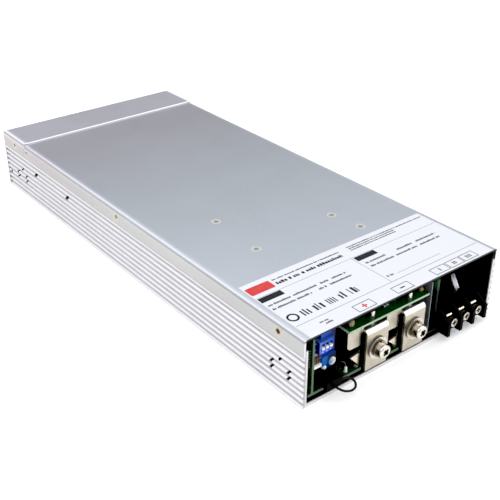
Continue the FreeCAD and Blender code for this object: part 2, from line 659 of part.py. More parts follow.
# ---------------------------------------------------------------- switch, adjuster and signal parts
pin_x = "side_pcb_x+thin_thk"
switch = box("dip_x-dip_w/2", "dip_x+dip_w/2", "dip_front", "dip_front+dip_d", "dip_low", "dip_low+dip_h")
tools = []
for k in (-1, 0, 1):
    c = "dip_x+%d*dip_pitch" % k
    tools.append(box("%s-way_w/2-way_gap" % c, "%s+way_w/2+way_gap" % c, "dip_front-1", "dip_front+2",
                     "way_low-way_end", "way_low+way_h+way_run+way_end"))
    node(box("%s-way_w/2" % c, "%s+way_w/2" % c, "dip_front-0.6", "dip_front+1.8", "way_low", "way_low+way_h"),
         "dip_slider_%d" % (k + 2))
legs = [box(pin_x, "dip_x-dip_w/2+0.5", y, y + 0.6, z, z + 0.6) for y in (5.2, 7.4) for z in (26.0, 29.6)]
switch = round_edges(switch, 0.45, lambda e: abs(e.tangentAt(e.FirstParameter).y) < 0.01
                     and abs(e.CenterOfMass.y - size("dip_front") + size("y_mid")) < 1e-6)
housing = box(-54.8, -45.4, "dip_front+2.2", "dip_front+dip_d", 21.5, 36.0)
node(fuse(cut(switch, *tools), housing, *legs), "dip_switch_body")

trim_face = (("trim_x"), 3.6, "trim_z")
case = fuse(box(-54.6, -50.4, 3.6, 8.4, 16.2, 21.3), box(-51.0, -45.6, 3.6, 8.4, 13.9, 21.3))
case = cut(case, cyl(trim_face, "+y", "trim_r+0.06", 1.9, -0.5))
legs = [box(pin_x, -54.4, y, y + 0.5, 16.4, 16.9) for y in (4.6, 6.2, 7.8)]
node(fuse(case, *legs), "trim_pot_body")
rotor = cut(cyl(trim_face, "+y", "trim_r", 1.7, -0.4),
            box("trim_x-1.6", "trim_x+1.6", 3.0, 3.7, "trim_z-0.3", "trim_z+0.3"))
node(rotor, "trim_pot_rotor")

shell = box(pin_x, -57.0, 1.6, 6.4, 18.7, 24.3)
node(cut(shell, box("side_pcb_x+thin_thk+0.6", -56.0, 0, 5.4, 20.4, 23.9)), "signal_header")

shell = box("plug_left-0.9", "plug_right+0.9", 4.0, 12.0, "pcb_top", 12.0)
node(cut(shell, box("plug_left-0.15", "plug_right+0.15", 3, 10.8, 6.45, 11.35)), "control_header")
plug = box("plug_left", "plug_right", "plug_front", 10.0, 6.6, 11.2)
ribs = [box("plug_left+%s" % (0.9 + 2.2 * k), "plug_left+%s" % (1.4 + 2.2 * k), -2.2, 2.6, 10.8, 12) for k in range(5)]
entries = [cyl((-52.6, "plug_front", 7.7), "+y", "wire_r+0.15", 2.6, 0), cyl((-46.6, -1.6, 7.7), "-x", "wire_r+0.15", 2.4, 0)]
node(cut(plug, *(ribs + entries)), "control_plug")

dome = fuse(cyl((-52.4, 4.65, 14.3), "+y", 1.25, 3.4), cyl((-52.4, 7.6, 14.3), "+y", 1.35, 0.9))
tip = doc.addObject("Part::Sphere", fresh("ball"))
tip.Radius = 1.25
place(tip, -52.4, 4.65, 14.3)
leads = [box(pin_x, -52.2, 8.5, 9.0, z, z + 0.4) for z in (13.5, 14.7)]
stub = [box(-52.7, -52.2, 8.2, 9.0, z, z + 0.4) for z in (13.5, 14.7)]
node(fuse(dome, tip, *(leads + stub)), "status_led")

# jumper wire: straight runs joined by tangent arcs, from a wire entry in the
# plug's front face round to the one in its right-hand side
ROUTE = [(-52.6, -0.4, 7.7), (-52.6, -5.9, 7.7), (-50.2, -8.7, 6.5), (-46.0, -9.5, 5.6),
         (-42.2, -8.1, 5.4), (-40.2, -5.2, 5.9), (-41.0, -2.5, 6.8), (-43.6, -1.6, 7.7), (-49.0, -1.6, 7.7)]


def tube_path(route):
    pts = [V(x, y - size("y_mid"), z) for x, y, z in route]
    edges, start, radii = [], pts[0], []
    for i in range(1, len(pts) - 1):
        a, p, b = pts[i - 1], pts[i], pts[i + 1]
        u, w = (a - p).normalize(), (b - p).normalize()
        turn = math.pi - u.getAngle(w)
        reach = 0.45 * min((a - p).Length, (b - p).Length)
        r = reach / math.tan(turn / 2)
        radii.append(r)
        t0, t1 = p + u * reach, p + w * reach
        mid_dir = (u + w).normalize()
        mid = p + mid_dir * (r / math.cos(turn / 2) - r)
        edges.append(Part.LineSegment(start, t0).toShape())
        edges.append(Part.Arc(t0, mid, t1).toShape())
        start = t1
    edges.append(Part.LineSegment(start, pts[-1]).toShape())
    return Part.Wire(edges), radii


path, radii = tube_path(ROUTE)
print("wire bend radii mm:", [round(r, 1) for r in radii], "length mm:", round(path.Length, 1))
first = path.Edges[0]
disc = Part.Wire([Part.Circle(first.valueAt(first.FirstParameter), first.tangentAt(first.FirstParameter), size("wire_r")).toShape()])
wire_shape = path.makePipeShell([disc], True, True)
wire = doc.addObject("Part::Feature", "jumper")
wire.Shape = wire_shape
assert abs(wire.Shape.Volume - path.Length * math.pi * size("wire_r") ** 2) < 0.02 * wire.Shape.Volume
node(wire, "jumper_wire")

# ---------------------------------------------------------------- mains terminal and parts behind it
step = 1.1
lo_x, hi_x = "ac_x-1.5*ac_pitch-ac_fin/2", "ac_x+1.5*ac_pitch+ac_fin/2"
parts = [box(lo_x, hi_x, "ac_face", step, "ac_low", "ac_seat"), box(lo_x, hi_x, step - 0.2, "ac_back", "pcb_top", "ac_seat")]
for k in (-1.5, -0.5, 0.5, 1.5):
    x0, x1 = "ac_x+%s*ac_pitch-ac_fin/2" % k, "ac_x+%s*ac_pitch+ac_fin/2" % k
    parts += [box(x0, x1, "ac_front", step, "ac_low", "ac_high"), box(x0, x1, step - 0.2, "ac_back", "pcb_top", "ac_high")]
bores, tabs, heads = [], [], []
for k in (-1, 0, 1):
    xc = "ac_x+%d*ac_pitch" % k
    at = (xc, "ac_face", "ac_screw_z")
    bores.append(cyl(at, "+y", 1.9, 6))
    bead = cut(cyl(("%s-2.4" % xc, -0.6, "ac_seat+0.1"), "+x", 1.25, 4.0), box("%s-4" % xc, "%s+4" % xc, -4, 4, "ac_seat-3", "ac_seat"))
    tab = fuse(box("%s-3.5" % xc, "%s+3.5" % xc, "ac_face-0.9", "ac_face", 4.4, "ac_seat+0.6"),
               box("%s-2.4" % xc, "%s+1.6" % xc, "ac_face-0.9", 0.6, "ac_seat", "ac_seat+0.6"), bead)
    tabs.append(cut(tab, cyl(at, "-y", 1.95, 3, -1)))
    heads.append(pan_screw((xc, "ac_face-0.9", "ac_screw_z"), "-y", 2.45, 2.2, 1.85, 6, 3.3))
slope = doc.addObject("Part::Box", fresh("slope"))
slope.Length, slope.Width, slope.Height = 60.0, 30.0, 12.0
slope.Placement = FreeCAD.Placement(V(), FreeCAD.Rotation(V(1, 0, 0), math.degrees(math.atan2(5.0, 7.4))))
place(slope, "ac_x-30", "ac_front-8.28", "ac_high-5-5.59")
node(cut(fuse(*parts), slope, *bores), "ac_terminal_block")
node(group(tabs), "ac_terminal_tabs")
node(group(heads), "ac_terminal_screws")

disc = doc.addObject("Part::Cylinder", fresh("cyl"))
disc.setExpression("Radius", "Sheet.disc_r")
disc.Height = 2.7
tilt = V(0.685, -0.616, 0.390)
tilt.normalize()
disc.Placement = FreeCAD.Placement(V(), FreeCAD.Rotation(V(0, 0, 1), tilt).multiply(FreeCAD.Rotation(V(0, 0, 1), 200)))
place(disc, 52.2 - 1.35 * tilt.x, 12 - 1.35 * tilt.y, 19.7 - 1.35 * tilt.z)
disc = round_edges(disc, 0.7, lambda e: e.Length > 20)
legs = [box(x - 0.3, x + 0.3, y - 0.3, y + 0.3, "pcb_top", 17.6) for x, y in ((51.62, 9.83), (54.29, 12.81))]
node(fuse(disc, *legs), "varistor")
node(fuse(cyl((62, 12, 9.2), "+y", 2.8, 20), cyl((62, 12, 9.2), "+y", 3.2, 4), cyl((62, 28, 9.2), "+y", 3.2, 4),
          box(61.6, 62.4, 13.6, 14.4, "pcb_top", 7), box(61.6, 62.4, 29.6, 30.4, "pcb_top", 7)), "ac_fuse")
node(group([box(x, x + 10, 24, 50, "pcb_top", 24) for x in (33, 45.5)]), "x_capacitors")

# ---------------------------------------------------------------- wound parts
def leg_tube(x0, x1, y0, y1, z0, z1, wall_x, wall_y):
    """A winding: a square tube round a core leg."""
    return cut(box(x0 - wall_x, x1 + wall_x, y0 - wall_y, y1 + wall_y, z0, z1), box(x0, x1, y0, y1, z0 - 1, z1 + 1))


core = cut(box(36, 62, 92, 104, "pcb_top", 31), box(42, 56, 80, 120, 11.6, 25))
node(core, "emi_choke_core")
node(group([leg_tube(35.8, 42.2, 91.8, 104.2, 11.9, 24.7, 2.3, 3.3), leg_tube(55.8, 62.2, 91.8, 104.2, 11.9, 24.7, 2.3, 3.3)]), "emi_choke_winding")
core = cut(box(-27, 19, 80, 116, "pcb_top", 35.6), box(-19, -11, 70, 130, 11.6, 29.6), box(3, 11, 70, 130, 11.6, 29.6))
node(core, "transformer_core")
node(leg_tube(-11.3, 3.3, 79.7, 116.3, 11.9, 29.3, 7.4, 6.7), "transformer_winding")
core = cut(box(18, 62, 160, 196, "pcb_top", 33), box(25, 34, 150, 210, 11.2, 27.6), box(46, 55, 150, 210, 11.2, 27.6))
node(core, "pfc_choke_core")
node(leg_tube(33.7, 46.3, 159.7, 196.3, 11.5, 27.3, 8.4, 7.7), "pfc_choke_winding")

# ---------------------------------------------------------------- capacitors, heatsinks and power parts
cans = []
for x in (-46, -12):
    for y in (150, 210):
        cans.append(cut(cyl((x, y, 20.7), "+y", 15, 50), cut(cyl((x, y + 47, 20.7), "+y", 17, 0.8), cyl((x, y + 46, 20.7), "+y", 14.3, 4))))
node(group(cans), "bulk_capacitors")
node(group([cyl((x, y, "pcb_top"), "+z", 5, 20) for x in (-33, -22, -11, 0, 11) for y in (20, 32, 44, 56)]), "output_capacitors")


def heatsink(x0, x1, y0, y1, holes, label):
    bar = box(x0, x1, y0, y1, "pcb_top", "lid_z-sheet_thk")
    tools = [box(x0 - 1, x0 + 2.2, y0 - 1, y1 + 1, z, z + 1.6) for z in (32.5, 35.7)]
    tools += [cyl((x, y, "lid_z-sheet_thk"), "-z", "m_three_hole", 6, -1) for x, y in holes]
    node(cut(bar, *tools), label)


heatsink(-37, -29, 70, 130, TOP_SCREWS[:2], "secondary_heatsink")
heatsink(21.5, 32.5, 58, 130, TOP_SCREWS[2:], "primary_heatsink")
chips = []
for x0, x1, y in ((-41.8, -37, 72), (-41.8, -37, 92), (-41.8, -37, 112), (32.5, 37.3, 62)):
    xm = (x0 + x1) / 2
    chips.append(fuse(box(x0, x1, y, y + 16, 10, 31), *[box(xm - 0.4, xm + 0.4, y + d, y + d + 1.2, "pcb_top", 10.5) for d in (2, 7.4, 12.8)]))
node(group(chips), "power_transistors")

# ---------------------------------------------------------------- fans
fan_screws = []
for i, k in enumerate(FANS, 1):
    xc = "%d*fan_pitch" % k
    front = (xc, "fan_front", "fan_z")
    frame = cut(box("%s-fan_size/2" % xc, "%s+fan_size/2" % xc, "fan_front", "fan_front+fan_depth", "fan_z-fan_size/2", "fan_z+fan_size/2"),
                cyl(front, "+y", "fan_bore", "fan_depth+4", -2))
    struts = [box("%s-17.6" % xc, "%s+17.6" % xc, "fan_front", "fan_front+2.4", "fan_z-1.4", "fan_z+1.4"),
              box("%s-1.4" % xc, "%s+1.4" % xc, "fan_front", "fan_front+2.4", "fan_z-17.6", "fan_z+17.6")]
    frame = fuse(frame, cyl(front, "+y", "fan_hub", 2.4), cyl(front, "+y", 3, 20), *struts)
    tools = [cyl(front, "+y", "fan_bearing", 25, 1)]
    for sx in (-1, 1):
        for sz in (-1, 1):
            corner = ("%s+%d*fan_screw" % (xc, sx), "case_l", "fan_z+%d*fan_screw" % sz)
            tools.append(cyl(corner, "-y", 1.3, "fan_depth+6", -1))
            fan_screws.append(flush_screw(corner, "+y", 1.25, 8, 2.2, 0.9, 2.4))
    node(cut(frame, *tools), "fan_frame_%d" % i)

    hub = cut(cyl(front, "+y", "fan_hub", 23, 3.5), cyl(front, "+y", "fan_hub-1.1", 21.5, 2.5))
    shaft = cyl(front, "+y", "fan_shaft", 24, 1.5)
    blades = []
    for n in range(7):
        b = doc.addObject("Part::Box", fresh("blade"))
        b.Length, b.Width, b.Height = 9.0, 22.0, 1.1
        turn = FreeCAD.Rotation(V(0, 1, 0), 360.0 / 7 * n + 8)
        lean = FreeCAD.Rotation(V(1, 0, 0), 38)
        offset = turn.multVec(lean.multVec(V(0, -11.0, -0.55)) + V(8.8, 0, 0))
        b.Placement = FreeCAD.Placement(V(), turn.multiply(lean))
        b.setExpression("Placement.Base.x", bind("%s+(%.6f)" % (xc, offset.x)))
        b.setExpression("Placement.Base.y", bind("fan_front+15.5-y_mid+(%.6f)" % offset.y))
        b.setExpression("Placement.Base.z", bind("fan_z+(%.6f)" % offset.z))
        blades.append(b)
    sweep = cut(cyl(front, "+y", "fan_tip", 20.5, 5), cyl(front, "+y", "fan_hub-0.3", 30, 0))
    node(fuse(hub, shaft, common(fuse(*blades), sweep)), "fan_rotor_%d" % i)
node(group(fan_screws), "fan_screws")

# ---------------------------------------------------------------- checks and files
doc.recompute()
for obj in doc.Objects:
    if "Invalid" in obj.State or "Error" in obj.State:
        raise SystemExit("failed feature: %s %s" % (obj.Name, obj.State))
os.makedirs("parts", exist_ok=True)
for label, obj in NODES.items():
    shape = obj.Shape
    if shape.isNull() or not shape.isValid() or not shape.Solids:
        raise SystemExit("bad shape: %s" % label)
for label, obj in NODES.items():
    obj.Shape.exportStep("parts/%s.step" % label)
print(len(NODES), "nodes written")
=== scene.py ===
import math
import random

import bmesh
import bpy
from mathutils import Matrix, Vector


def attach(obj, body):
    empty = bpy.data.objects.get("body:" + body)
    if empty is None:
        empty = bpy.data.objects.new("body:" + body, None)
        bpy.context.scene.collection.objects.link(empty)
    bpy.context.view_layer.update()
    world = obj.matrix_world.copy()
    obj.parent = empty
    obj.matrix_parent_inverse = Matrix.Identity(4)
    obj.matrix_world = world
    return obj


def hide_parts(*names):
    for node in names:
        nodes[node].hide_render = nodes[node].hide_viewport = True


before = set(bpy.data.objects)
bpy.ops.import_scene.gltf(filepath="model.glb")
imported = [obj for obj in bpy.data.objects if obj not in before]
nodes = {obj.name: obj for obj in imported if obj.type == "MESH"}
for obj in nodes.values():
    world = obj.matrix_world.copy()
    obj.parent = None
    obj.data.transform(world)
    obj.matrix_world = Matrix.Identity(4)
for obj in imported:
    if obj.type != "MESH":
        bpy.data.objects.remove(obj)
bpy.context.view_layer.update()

scene = bpy.context.scene
rng = random.Random(11)

MM = 0.001
Y_MID = 159.1          # the row frame's origin, measured from the front face


def at(x, y, z):
    """A point given in millimetres from the front face, in the row frame."""
    return Vector((x * MM, (y - Y_MID) * MM, z * MM))


# ------------------------------------------------------------------ shader helpers
class Shader:
    def __init__(self, name, **sockets):
        self.mat = bpy.data.materials.new(name)
        self.mat.use_nodes = True
        self.tree = self.mat.node_tree
        self.bsdf = next(n for n in self.tree.nodes if n.type == "BSDF_PRINCIPLED")
        for key, value in sockets.items():
            self.bsdf.inputs[key.replace("_", " ")].default_value = value

    def add(self, kind, **props):
        n = self.tree.nodes.new(kind)
        for key, value in props.items():
            setattr(n, key, value)
        return n

    def put(self, value, socket):
        if isinstance(value, bpy.types.NodeSocket):
            self.tree.links.new(value, socket)
        else:
            socket.default_value = value

    def coords(self, sx=1.0, sy=1.0, sz=1.0, turn=(0.0, 0.0, 0.0)):
        tc = self.add("ShaderNodeTexCoord")
        mp = self.add("ShaderNodeMapping")
        mp.inputs["Scale"].default_value = (sx, sy, sz)
        mp.inputs["Rotation"].default_value = turn
        self.tree.links.new(tc.outputs["Object"], mp.inputs["Vector"])
        return mp.outputs["Vector"]

    def noise(self, vec, scale, detail=3.0, rough=0.5, distort=0.0):
        n = self.add("ShaderNodeTexNoise")
        self.put(vec, n.inputs["Vector"])
        n.inputs["Scale"].default_value = scale
        n.inputs["Detail"].default_value = detail
        n.inputs["Roughness"].default_value = rough
        n.inputs["Distortion"].default_value = distort
        return n.outputs["Fac"]

    def voronoi(self, vec, scale, feature="F1", metric="EUCLIDEAN", randomness=1.0, out="Distance"):
        n = self.add("ShaderNodeTexVoronoi", feature=feature)
        if feature != "DISTANCE_TO_EDGE":
            n.distance = metric
        self.put(vec, n.inputs["Vector"])
        n.inputs["Scale"].default_value = scale
        n.inputs["Randomness"].default_value = randomness
        return n.outputs[out]

    def wave(self, vec, scale, direction="Z", distortion=0.0, profile="SIN"):
        n = self.add("ShaderNodeTexWave", wave_type="BANDS", bands_direction=direction, wave_profile=profile)
        self.put(vec, n.inputs["Vector"])
        n.inputs["Scale"].default_value = scale
        n.inputs["Distortion"].default_value = distortion
        return n.outputs["Fac"]

    def ramp(self, fac, stops, interpolation="LINEAR"):
        n = self.add("ShaderNodeValToRGB")
        n.color_ramp.interpolation = interpolation
        els = n.color_ramp.elements
        while len(els) < len(stops):
            els.new(0.5)
        for e, (pos, col) in zip(els, stops):
            e.position = pos
            if not hasattr(col, "__len__"):
                col = (col, col, col)
            e.color = (col[0], col[1], col[2], 1.0)
        self.put(fac, n.inputs["Fac"])
        return n.outputs["Color"]

    def mix(self, fac, a, b, blend="MIX"):
        n = self.add("ShaderNodeMix", data_type="RGBA", blend_type=blend)
        self.put(fac, n.inputs[0])
        for value, socket in ((a, n.inputs[6]), (b, n.inputs[7])):
            if isinstance(value, (tuple, list)):
                value = (value[0], value[1], value[2], 1.0)
            self.put(value, socket)
        return n.outputs[2]

    def math(self, op, a, b=0.0, c=None, clamp=False):
        n = self.add("ShaderNodeMath", operation=op, use_clamp=clamp)
        self.put(a, n.inputs[0])
        self.put(b, n.inputs[1])
        if c is not None:
            self.put(c, n.inputs[2])
        return n.outputs[0]

    def span(self, value, lo, hi, out_lo, out_hi):
        n = self.add("ShaderNodeMapRange")
        self.put(value, n.inputs["Value"])
        n.inputs["From Min"].default_value = lo
        n.inputs["From Max"].default_value = hi
        n.inputs["To Min"].default_value = out_lo
        n.inputs["To Max"].default_value = out_hi
        return n.outputs["Result"]

    def axis_face(self, axis, limit=0.6):
        """1 on faces that look along that axis of the piece, 0 elsewhere."""
        tc = self.add("ShaderNodeTexCoord")
        sep = self.add("ShaderNodeSeparateXYZ")
        self.tree.links.new(tc.outputs["Normal"], sep.inputs[0])
        size = self.math("ABSOLUTE", sep.outputs[axis])
        return self.math("GREATER_THAN", size, limit)

    def facing(self, axis, sign, limit=0.6):
        """1 on faces that look one way along an axis, 0 elsewhere."""
        tc = self.add("ShaderNodeTexCoord")
        sep = self.add("ShaderNodeSeparateXYZ")
        self.tree.links.new(tc.outputs["Normal"], sep.inputs[0])
        return self.math("GREATER_THAN", self.math("MULTIPLY", sep.outputs[axis], float(sign)), limit)

    def part(self, axis):
        """One coordinate of the piece in metres."""
        tc = self.add("ShaderNodeTexCoord")
        sep = self.add("ShaderNodeSeparateXYZ")
        self.tree.links.new(tc.outputs["Object"], sep.inputs[0])
        return sep.outputs[axis]

    def colour(self, value):
        self.put(value, self.bsdf.inputs["Base Color"])
        return self

    def rough(self, value):
        self.put(value, self.bsdf.inputs["Roughness"])
        return self

    def metal(self, value):
        self.put(value, self.bsdf.inputs["Metallic"])
        return self

    def bump(self, height, strength, distance):
        n = self.add("ShaderNodeBump")
        n.inputs["Strength"].default_value = strength
        n.inputs["Distance"].default_value = distance
        self.put(height, n.inputs["Height"])
        self.put(n.outputs["Normal"], self.bsdf.inputs["Normal"])
        return self


# ------------------------------------------------------------------ materials
def cover_sheet(name="cover_sheet", lift=1.0, rim=None, side=((0.0, 0.76), (0.11, 0.76), (0.26, 0.84), (0.63, 0.85), (0.85, 0.88))):
    s = Shader(name, Metallic=0.92)
    cloud = s.noise(s.coords(), 17.0, 4.0, 0.55)
    mottle = s.noise(s.coords(), 60.0, 1.0, 0.4)
    tone = s.ramp(cloud, [(0.0, (0.578 * lift, 0.580 * lift, 0.583 * lift)), (1.0, (0.616 * lift, 0.618 * lift, 0.621 * lift))])
    # painted shade makes the sheet a little duller towards its rear end
    rearward_shade = s.ramp(s.span(s.part(1), -0.13, 0.14, 0.0, 1.0), [(0.0, (1.0, 1.0, 1.0)), (0.20, (0.955, 0.955, 0.948)), (0.52, (0.885, 0.885, 0.872)), (0.88, (0.790, 0.735, 0.745)), (1.0, (0.80, 0.75, 0.76))])
    tone = s.mix(1.0, tone, (1.18, 1.205, 1.225), "MULTIPLY")
    tone = s.mix(1.0, tone, rearward_shade, "MULTIPLY")
    # painted shade makes the folded sides warmer and darker, by the factors along Y given in side
    side_shade = s.ramp(s.span(s.part(1), -0.13, 0.14, 0.0, 1.0), [(place, (0.882 * k, 0.862 * k, 0.832 * k)) for place, k in side])
    tone = s.mix(s.axis_face(0, 0.8), tone, s.mix(1.0, tone, side_shade, "MULTIPLY"))
    # towards its bends the top and the top of the flange get a painted highlight, the bend itself gets painted shade,
    # and the bend is coarser
    tc = s.add("ShaderNodeTexCoord")
    sep = s.add("ShaderNodeSeparateXYZ")
    s.tree.links.new(tc.outputs["Normal"], sep.inputs[0])
    lean = s.math("ABSOLUTE", sep.outputs[0])
    bend = s.math("MULTIPLY", s.math("GREATER_THAN", lean, 0.20), s.math("GREATER_THAN", sep.outputs[2], 0.12))
    edge_highlight = s.math("MULTIPLY", s.span(s.math("ABSOLUTE", s.part(0)), 0.0660, 0.0684, 0.0, 1.0), s.math("GREATER_THAN", sep.outputs[2], 0.8))
    edge_highlight = s.math("MAXIMUM", edge_highlight, s.math("MULTIPLY", s.math("GREATER_THAN", lean, 0.8), s.span(s.part(2), 0.0368, 0.0392, 0.0, 1.0)))
    edge_highlight = s.math("MULTIPLY", edge_highlight, s.span(s.part(1), -0.14, 0.09, 0.10, 1.0))
    tone = s.mix(edge_highlight, tone, s.mix(1.0, tone, (1.46, 1.46, 1.50), "MULTIPLY"))
    tone = s.mix(bend, tone, s.mix(1.0, tone, (0.80, 0.79, 0.79), "MULTIPLY"))
    # the sheared front edge and the inside of the sheet get painted shade
    front = s.math("MULTIPLY", s.facing(1, -1), s.math("LESS_THAN", s.part(1), -0.1588))
    front = s.math("MULTIPLY", front, s.math("GREATER_THAN", s.part(2), 0.0386))
    under = s.facing(2, -1)
    tone = s.mix(s.math("MAXIMUM", front, s.math("MULTIPLY", under, 0.7)), tone, (0.035, 0.035, 0.038))
    if rim:
        # painted shade along the rolled front end of the strip
        tone = s.mix(s.span(s.part(1), rim, rim + 0.0011, 0.55, 0.0), tone, (0.42, 0.42, 0.445))
    s.colour(tone)
    s.rough(s.math("ADD", s.math("ADD", s.span(mottle, 0.0, 1.0, 0.25, 0.31), s.span(cloud, 0.0, 1.0, -0.02, 0.03)), s.math("MULTIPLY", bend, 0.16)))
    return s.mat


def extrusion():
    s = Shader("chassis_aluminium", Metallic=0.72)
    die = s.noise(s.coords(2600, 5, 2600), 1.0, 4.0, 0.65)
    fine = s.noise(s.coords(9000, 40, 9000), 1.0, 2.0, 0.6)
    cloud = s.noise(s.coords(), 30.0, 4.0, 0.55)
    tone = s.ramp(cloud, [(0.3, (0.755, 0.752, 0.752)), (0.7, (0.81, 0.807, 0.807))])
    tone = s.mix(s.span(die, 0.45, 0.75, 0.0, 0.30), tone, (0.70, 0.702, 0.715))
    # painted shade in the roots of the grooves
    depth = s.math("ABSOLUTE", s.part(0))
    outer = s.math("GREATER_THAN", depth, 0.0684)
    groove_shade = s.math("MULTIPLY", outer, s.span(depth, 0.0690, 0.06985, 1.0, 0.0))
    tone = s.mix(s.math("MULTIPLY", groove_shade, 0.70), tone, (0.42, 0.418, 0.425))
    tone = s.mix(1.0, tone, (0.875, 0.855, 0.86), "MULTIPLY")
    # punched slots and tapped holes: their walls are raw and in shade
    tc = s.add("ShaderNodeTexCoord")
    sep = s.add("ShaderNodeSeparateXYZ")
    s.tree.links.new(tc.outputs["Normal"], sep.inputs[0])
    bore = s.math("LESS_THAN", s.math("ABSOLUTE", sep.outputs[0]), 0.12)
    for value, lo, hi in ((depth, 0.0671, 0.0702), (s.part(2), 0.003, 0.0296), (s.part(1), -0.158, 0.1645)):
        bore = s.math("MULTIPLY", bore, s.math("MULTIPLY", s.math("GREATER_THAN", value, lo), s.math("LESS_THAN", value, hi)))
    tone = s.mix(bore, tone, (0.010, 0.010, 0.012))
    # the lower half of a tapped hole catches the light
    lit = s.math("MULTIPLY", s.math("LESS_THAN", s.math("ABSOLUTE", s.math("SUBTRACT", s.part(2), 0.0212)), 0.0009), s.math("GREATER_THAN", s.part(1), 0.06))
    tone = s.mix(s.math("MULTIPLY", bore, lit), tone, (0.22, 0.20, 0.15))
    s.colour(tone)
    s.rough(s.math("ADD", s.span(fine, 0.3, 0.7, 0.30, 0.42), s.span(die, 0.3, 0.7, -0.04, 0.05)))
    s.bump(s.math("ADD", die, s.math("MULTIPLY", fine, 0.5)), 0.14, 0.00005)
    return s.mat


def label_film():
    s = Shader("label_film", Coat_Weight=0.12, Coat_Roughness=0.25)
    pulp = s.noise(s.coords(), 900.0, 4.0, 0.6)
    wash = s.noise(s.coords(), 24.0, 3.0, 0.5)
    tone = s.ramp(pulp, [(0.25, (0.66, 0.655, 0.672)), (0.75, (0.70, 0.695, 0.712))])
    s.colour(s.mix(s.span(wash, 0.35, 0.7, 0.0, 0.35), tone, (0.665, 0.661, 0.68)))
    s.rough(s.span(wash, 0.3, 0.7, 0.40, 0.52))
    s.bump(s.math("ADD", s.math("MULTIPLY", pulp, 0.4), wash), 0.08, 0.00006)
    return s.mat


def ink(name, dark, light, spread=420.0):
    s = Shader(name, Specular_IOR_Level=0.12)
    body = s.noise(s.coords(), spread, 4.0, 0.6)
    pits = s.noise(s.coords(), 5200.0, 2.0, 0.5)
    s.colour(s.mix(s.span(pits, 0.60, 0.75, 0.0, 0.5), s.ramp(body, [(0.3, dark), (0.7, light)]), light))
    s.rough(s.span(body, 0.3, 0.7, 0.38, 0.50))
    s.bump(pits, 0.06, 0.00001)
    return s.mat


def plated(name, warm, cool, rough=(0.16, 0.30), scratch=0.12, low=None, fold_highlight=False):
    s = Shader(name, Metallic=1.0)
    cloud = s.noise(s.coords(), 210.0, 4.0, 0.55)
    lines = s.noise(s.coords(900, 9000, 900, (0.4, 0.2, 0.6)), 1.0, 3.0, 0.7)
    grain = s.noise(s.coords(), 7000.0, 2.0, 0.5)
    tone = s.mix(s.span(lines, 0.55, 0.75, 0.0, 0.3), s.ramp(cloud, [(0.28, warm), (0.72, cool)]), warm)
    if low:
        # painted light brightens the plating below a height
        tone = s.mix(s.span(s.part(2), low - 0.0006, low + 0.0006, 1.0, 0.0), tone, s.mix(1.0, tone, (1.42, 1.43, 1.46), "MULTIPLY"))
    if fold_highlight:
        # the fold gets a painted highlight
        tc = s.add("ShaderNodeTexCoord")
        sep = s.add("ShaderNodeSeparateXYZ")
        s.tree.links.new(tc.outputs["Normal"], sep.inputs[0])
        fold = s.math("MULTIPLY", s.span(sep.outputs[2], 0.08, 0.25, 0.0, 0.85), s.math("LESS_THAN", sep.outputs[2], 0.97))
        tone = s.mix(fold, tone, (0.95, 0.935, 0.90))
    s.colour(tone)
    s.rough(s.math("ADD", s.span(cloud, 0.3, 0.7, rough[0], rough[1]), s.span(lines, 0.4, 0.7, 0.0, 0.06)))
    s.bump(s.math("ADD", lines, s.math("MULTIPLY", grain, 0.4)), scratch, 0.00003)
    return s.mat


def fastener(name, warm, cool, rim, axes=(), sunk=None, rough=(0.16, 0.28), under=False, metal=1.0, ring_shade=None, right_side_shade=0.0):
    """Plated steel along the Y axis: its turned rim gets painted shade, and its recess gets painted shade."""
    s = Shader(name, Metallic=metal)
    cloud = s.noise(s.coords(), 240.0, 4.0, 0.55)
    lathe = s.noise(s.coords(4200, 300, 4200), 1.0, 3.0, 0.6)
    tone = s.ramp(cloud, [(0.28, warm), (0.72, cool)])
    tone = s.mix(s.span(lathe, 0.5, 0.75, 0.0, 0.35), tone, tuple(0.6 * c for c in warm))
    if rim:
        side = s.math("SUBTRACT", 1.0, s.axis_face(1, 0.5))
        # with under set, the painted shade lies only on the lower part of the rim
        if under:
            tc = s.add("ShaderNodeTexCoord")
            sep = s.add("ShaderNodeSeparateXYZ")
            s.tree.links.new(tc.outputs["Normal"], sep.inputs[0])
            side = s.math("MULTIPLY", side, s.span(s.math("ADD", sep.outputs[2], s.math("MULTIPLY", sep.outputs[0], 0.6)), -0.45, 0.15, 1.0, 0.0))
        tone = s.mix(s.math("MULTIPLY", side, s.span(cloud, 0.35, 0.65, 0.78, 1.0)), tone, rim)
    if axes:
        near = turn = None
        for x, z in axes:
            dx = s.math("SUBTRACT", s.part(0), x)
            dz = s.math("SUBTRACT", s.part(2), z)
            far = s.math("SQRT", s.math("ADD", s.math("MULTIPLY", dx, dx), s.math("MULTIPLY", dz, dz)))
            here = s.math("MULTIPLY", s.math("LESS_THAN", far, 0.0045), dx)
            near = far if near is None else s.math("MINIMUM", near, far)
            turn = here if turn is None else s.math("ADD", turn, here)
        # painted shade on the right side of each head
        if right_side_shade:
            tone = s.mix(s.span(turn, -0.0004, 0.0016, 0.0, right_side_shade), tone, (0.13, 0.125, 0.115))
        # painted shade in a ring round the recess on the front faces
        if ring_shade:
            tone = s.mix(s.math("MULTIPLY", s.facing(1, -1), s.span(near, ring_shade[0], ring_shade[1], ring_shade[2], 0.0)), tone, (0.20, 0.15, 0.10))
        # painted shade in the recess
        hole = s.math("MULTIPLY", s.math("LESS_THAN", near, 0.00215), s.math("GREATER_THAN", s.part(1), sunk))
        tone = s.mix(hole, tone, (0.045, 0.026, 0.014))
        s.metal(s.span(hole, 0.0, 1.0, metal, 0.25))
    s.colour(tone)
    s.rough(s.span(cloud, 0.3, 0.7, rough[0], rough[1]))
    s.bump(s.math("ADD", lathe, s.math("MULTIPLY", cloud, 0.4)), 0.12, 0.00003)
    return s.mat


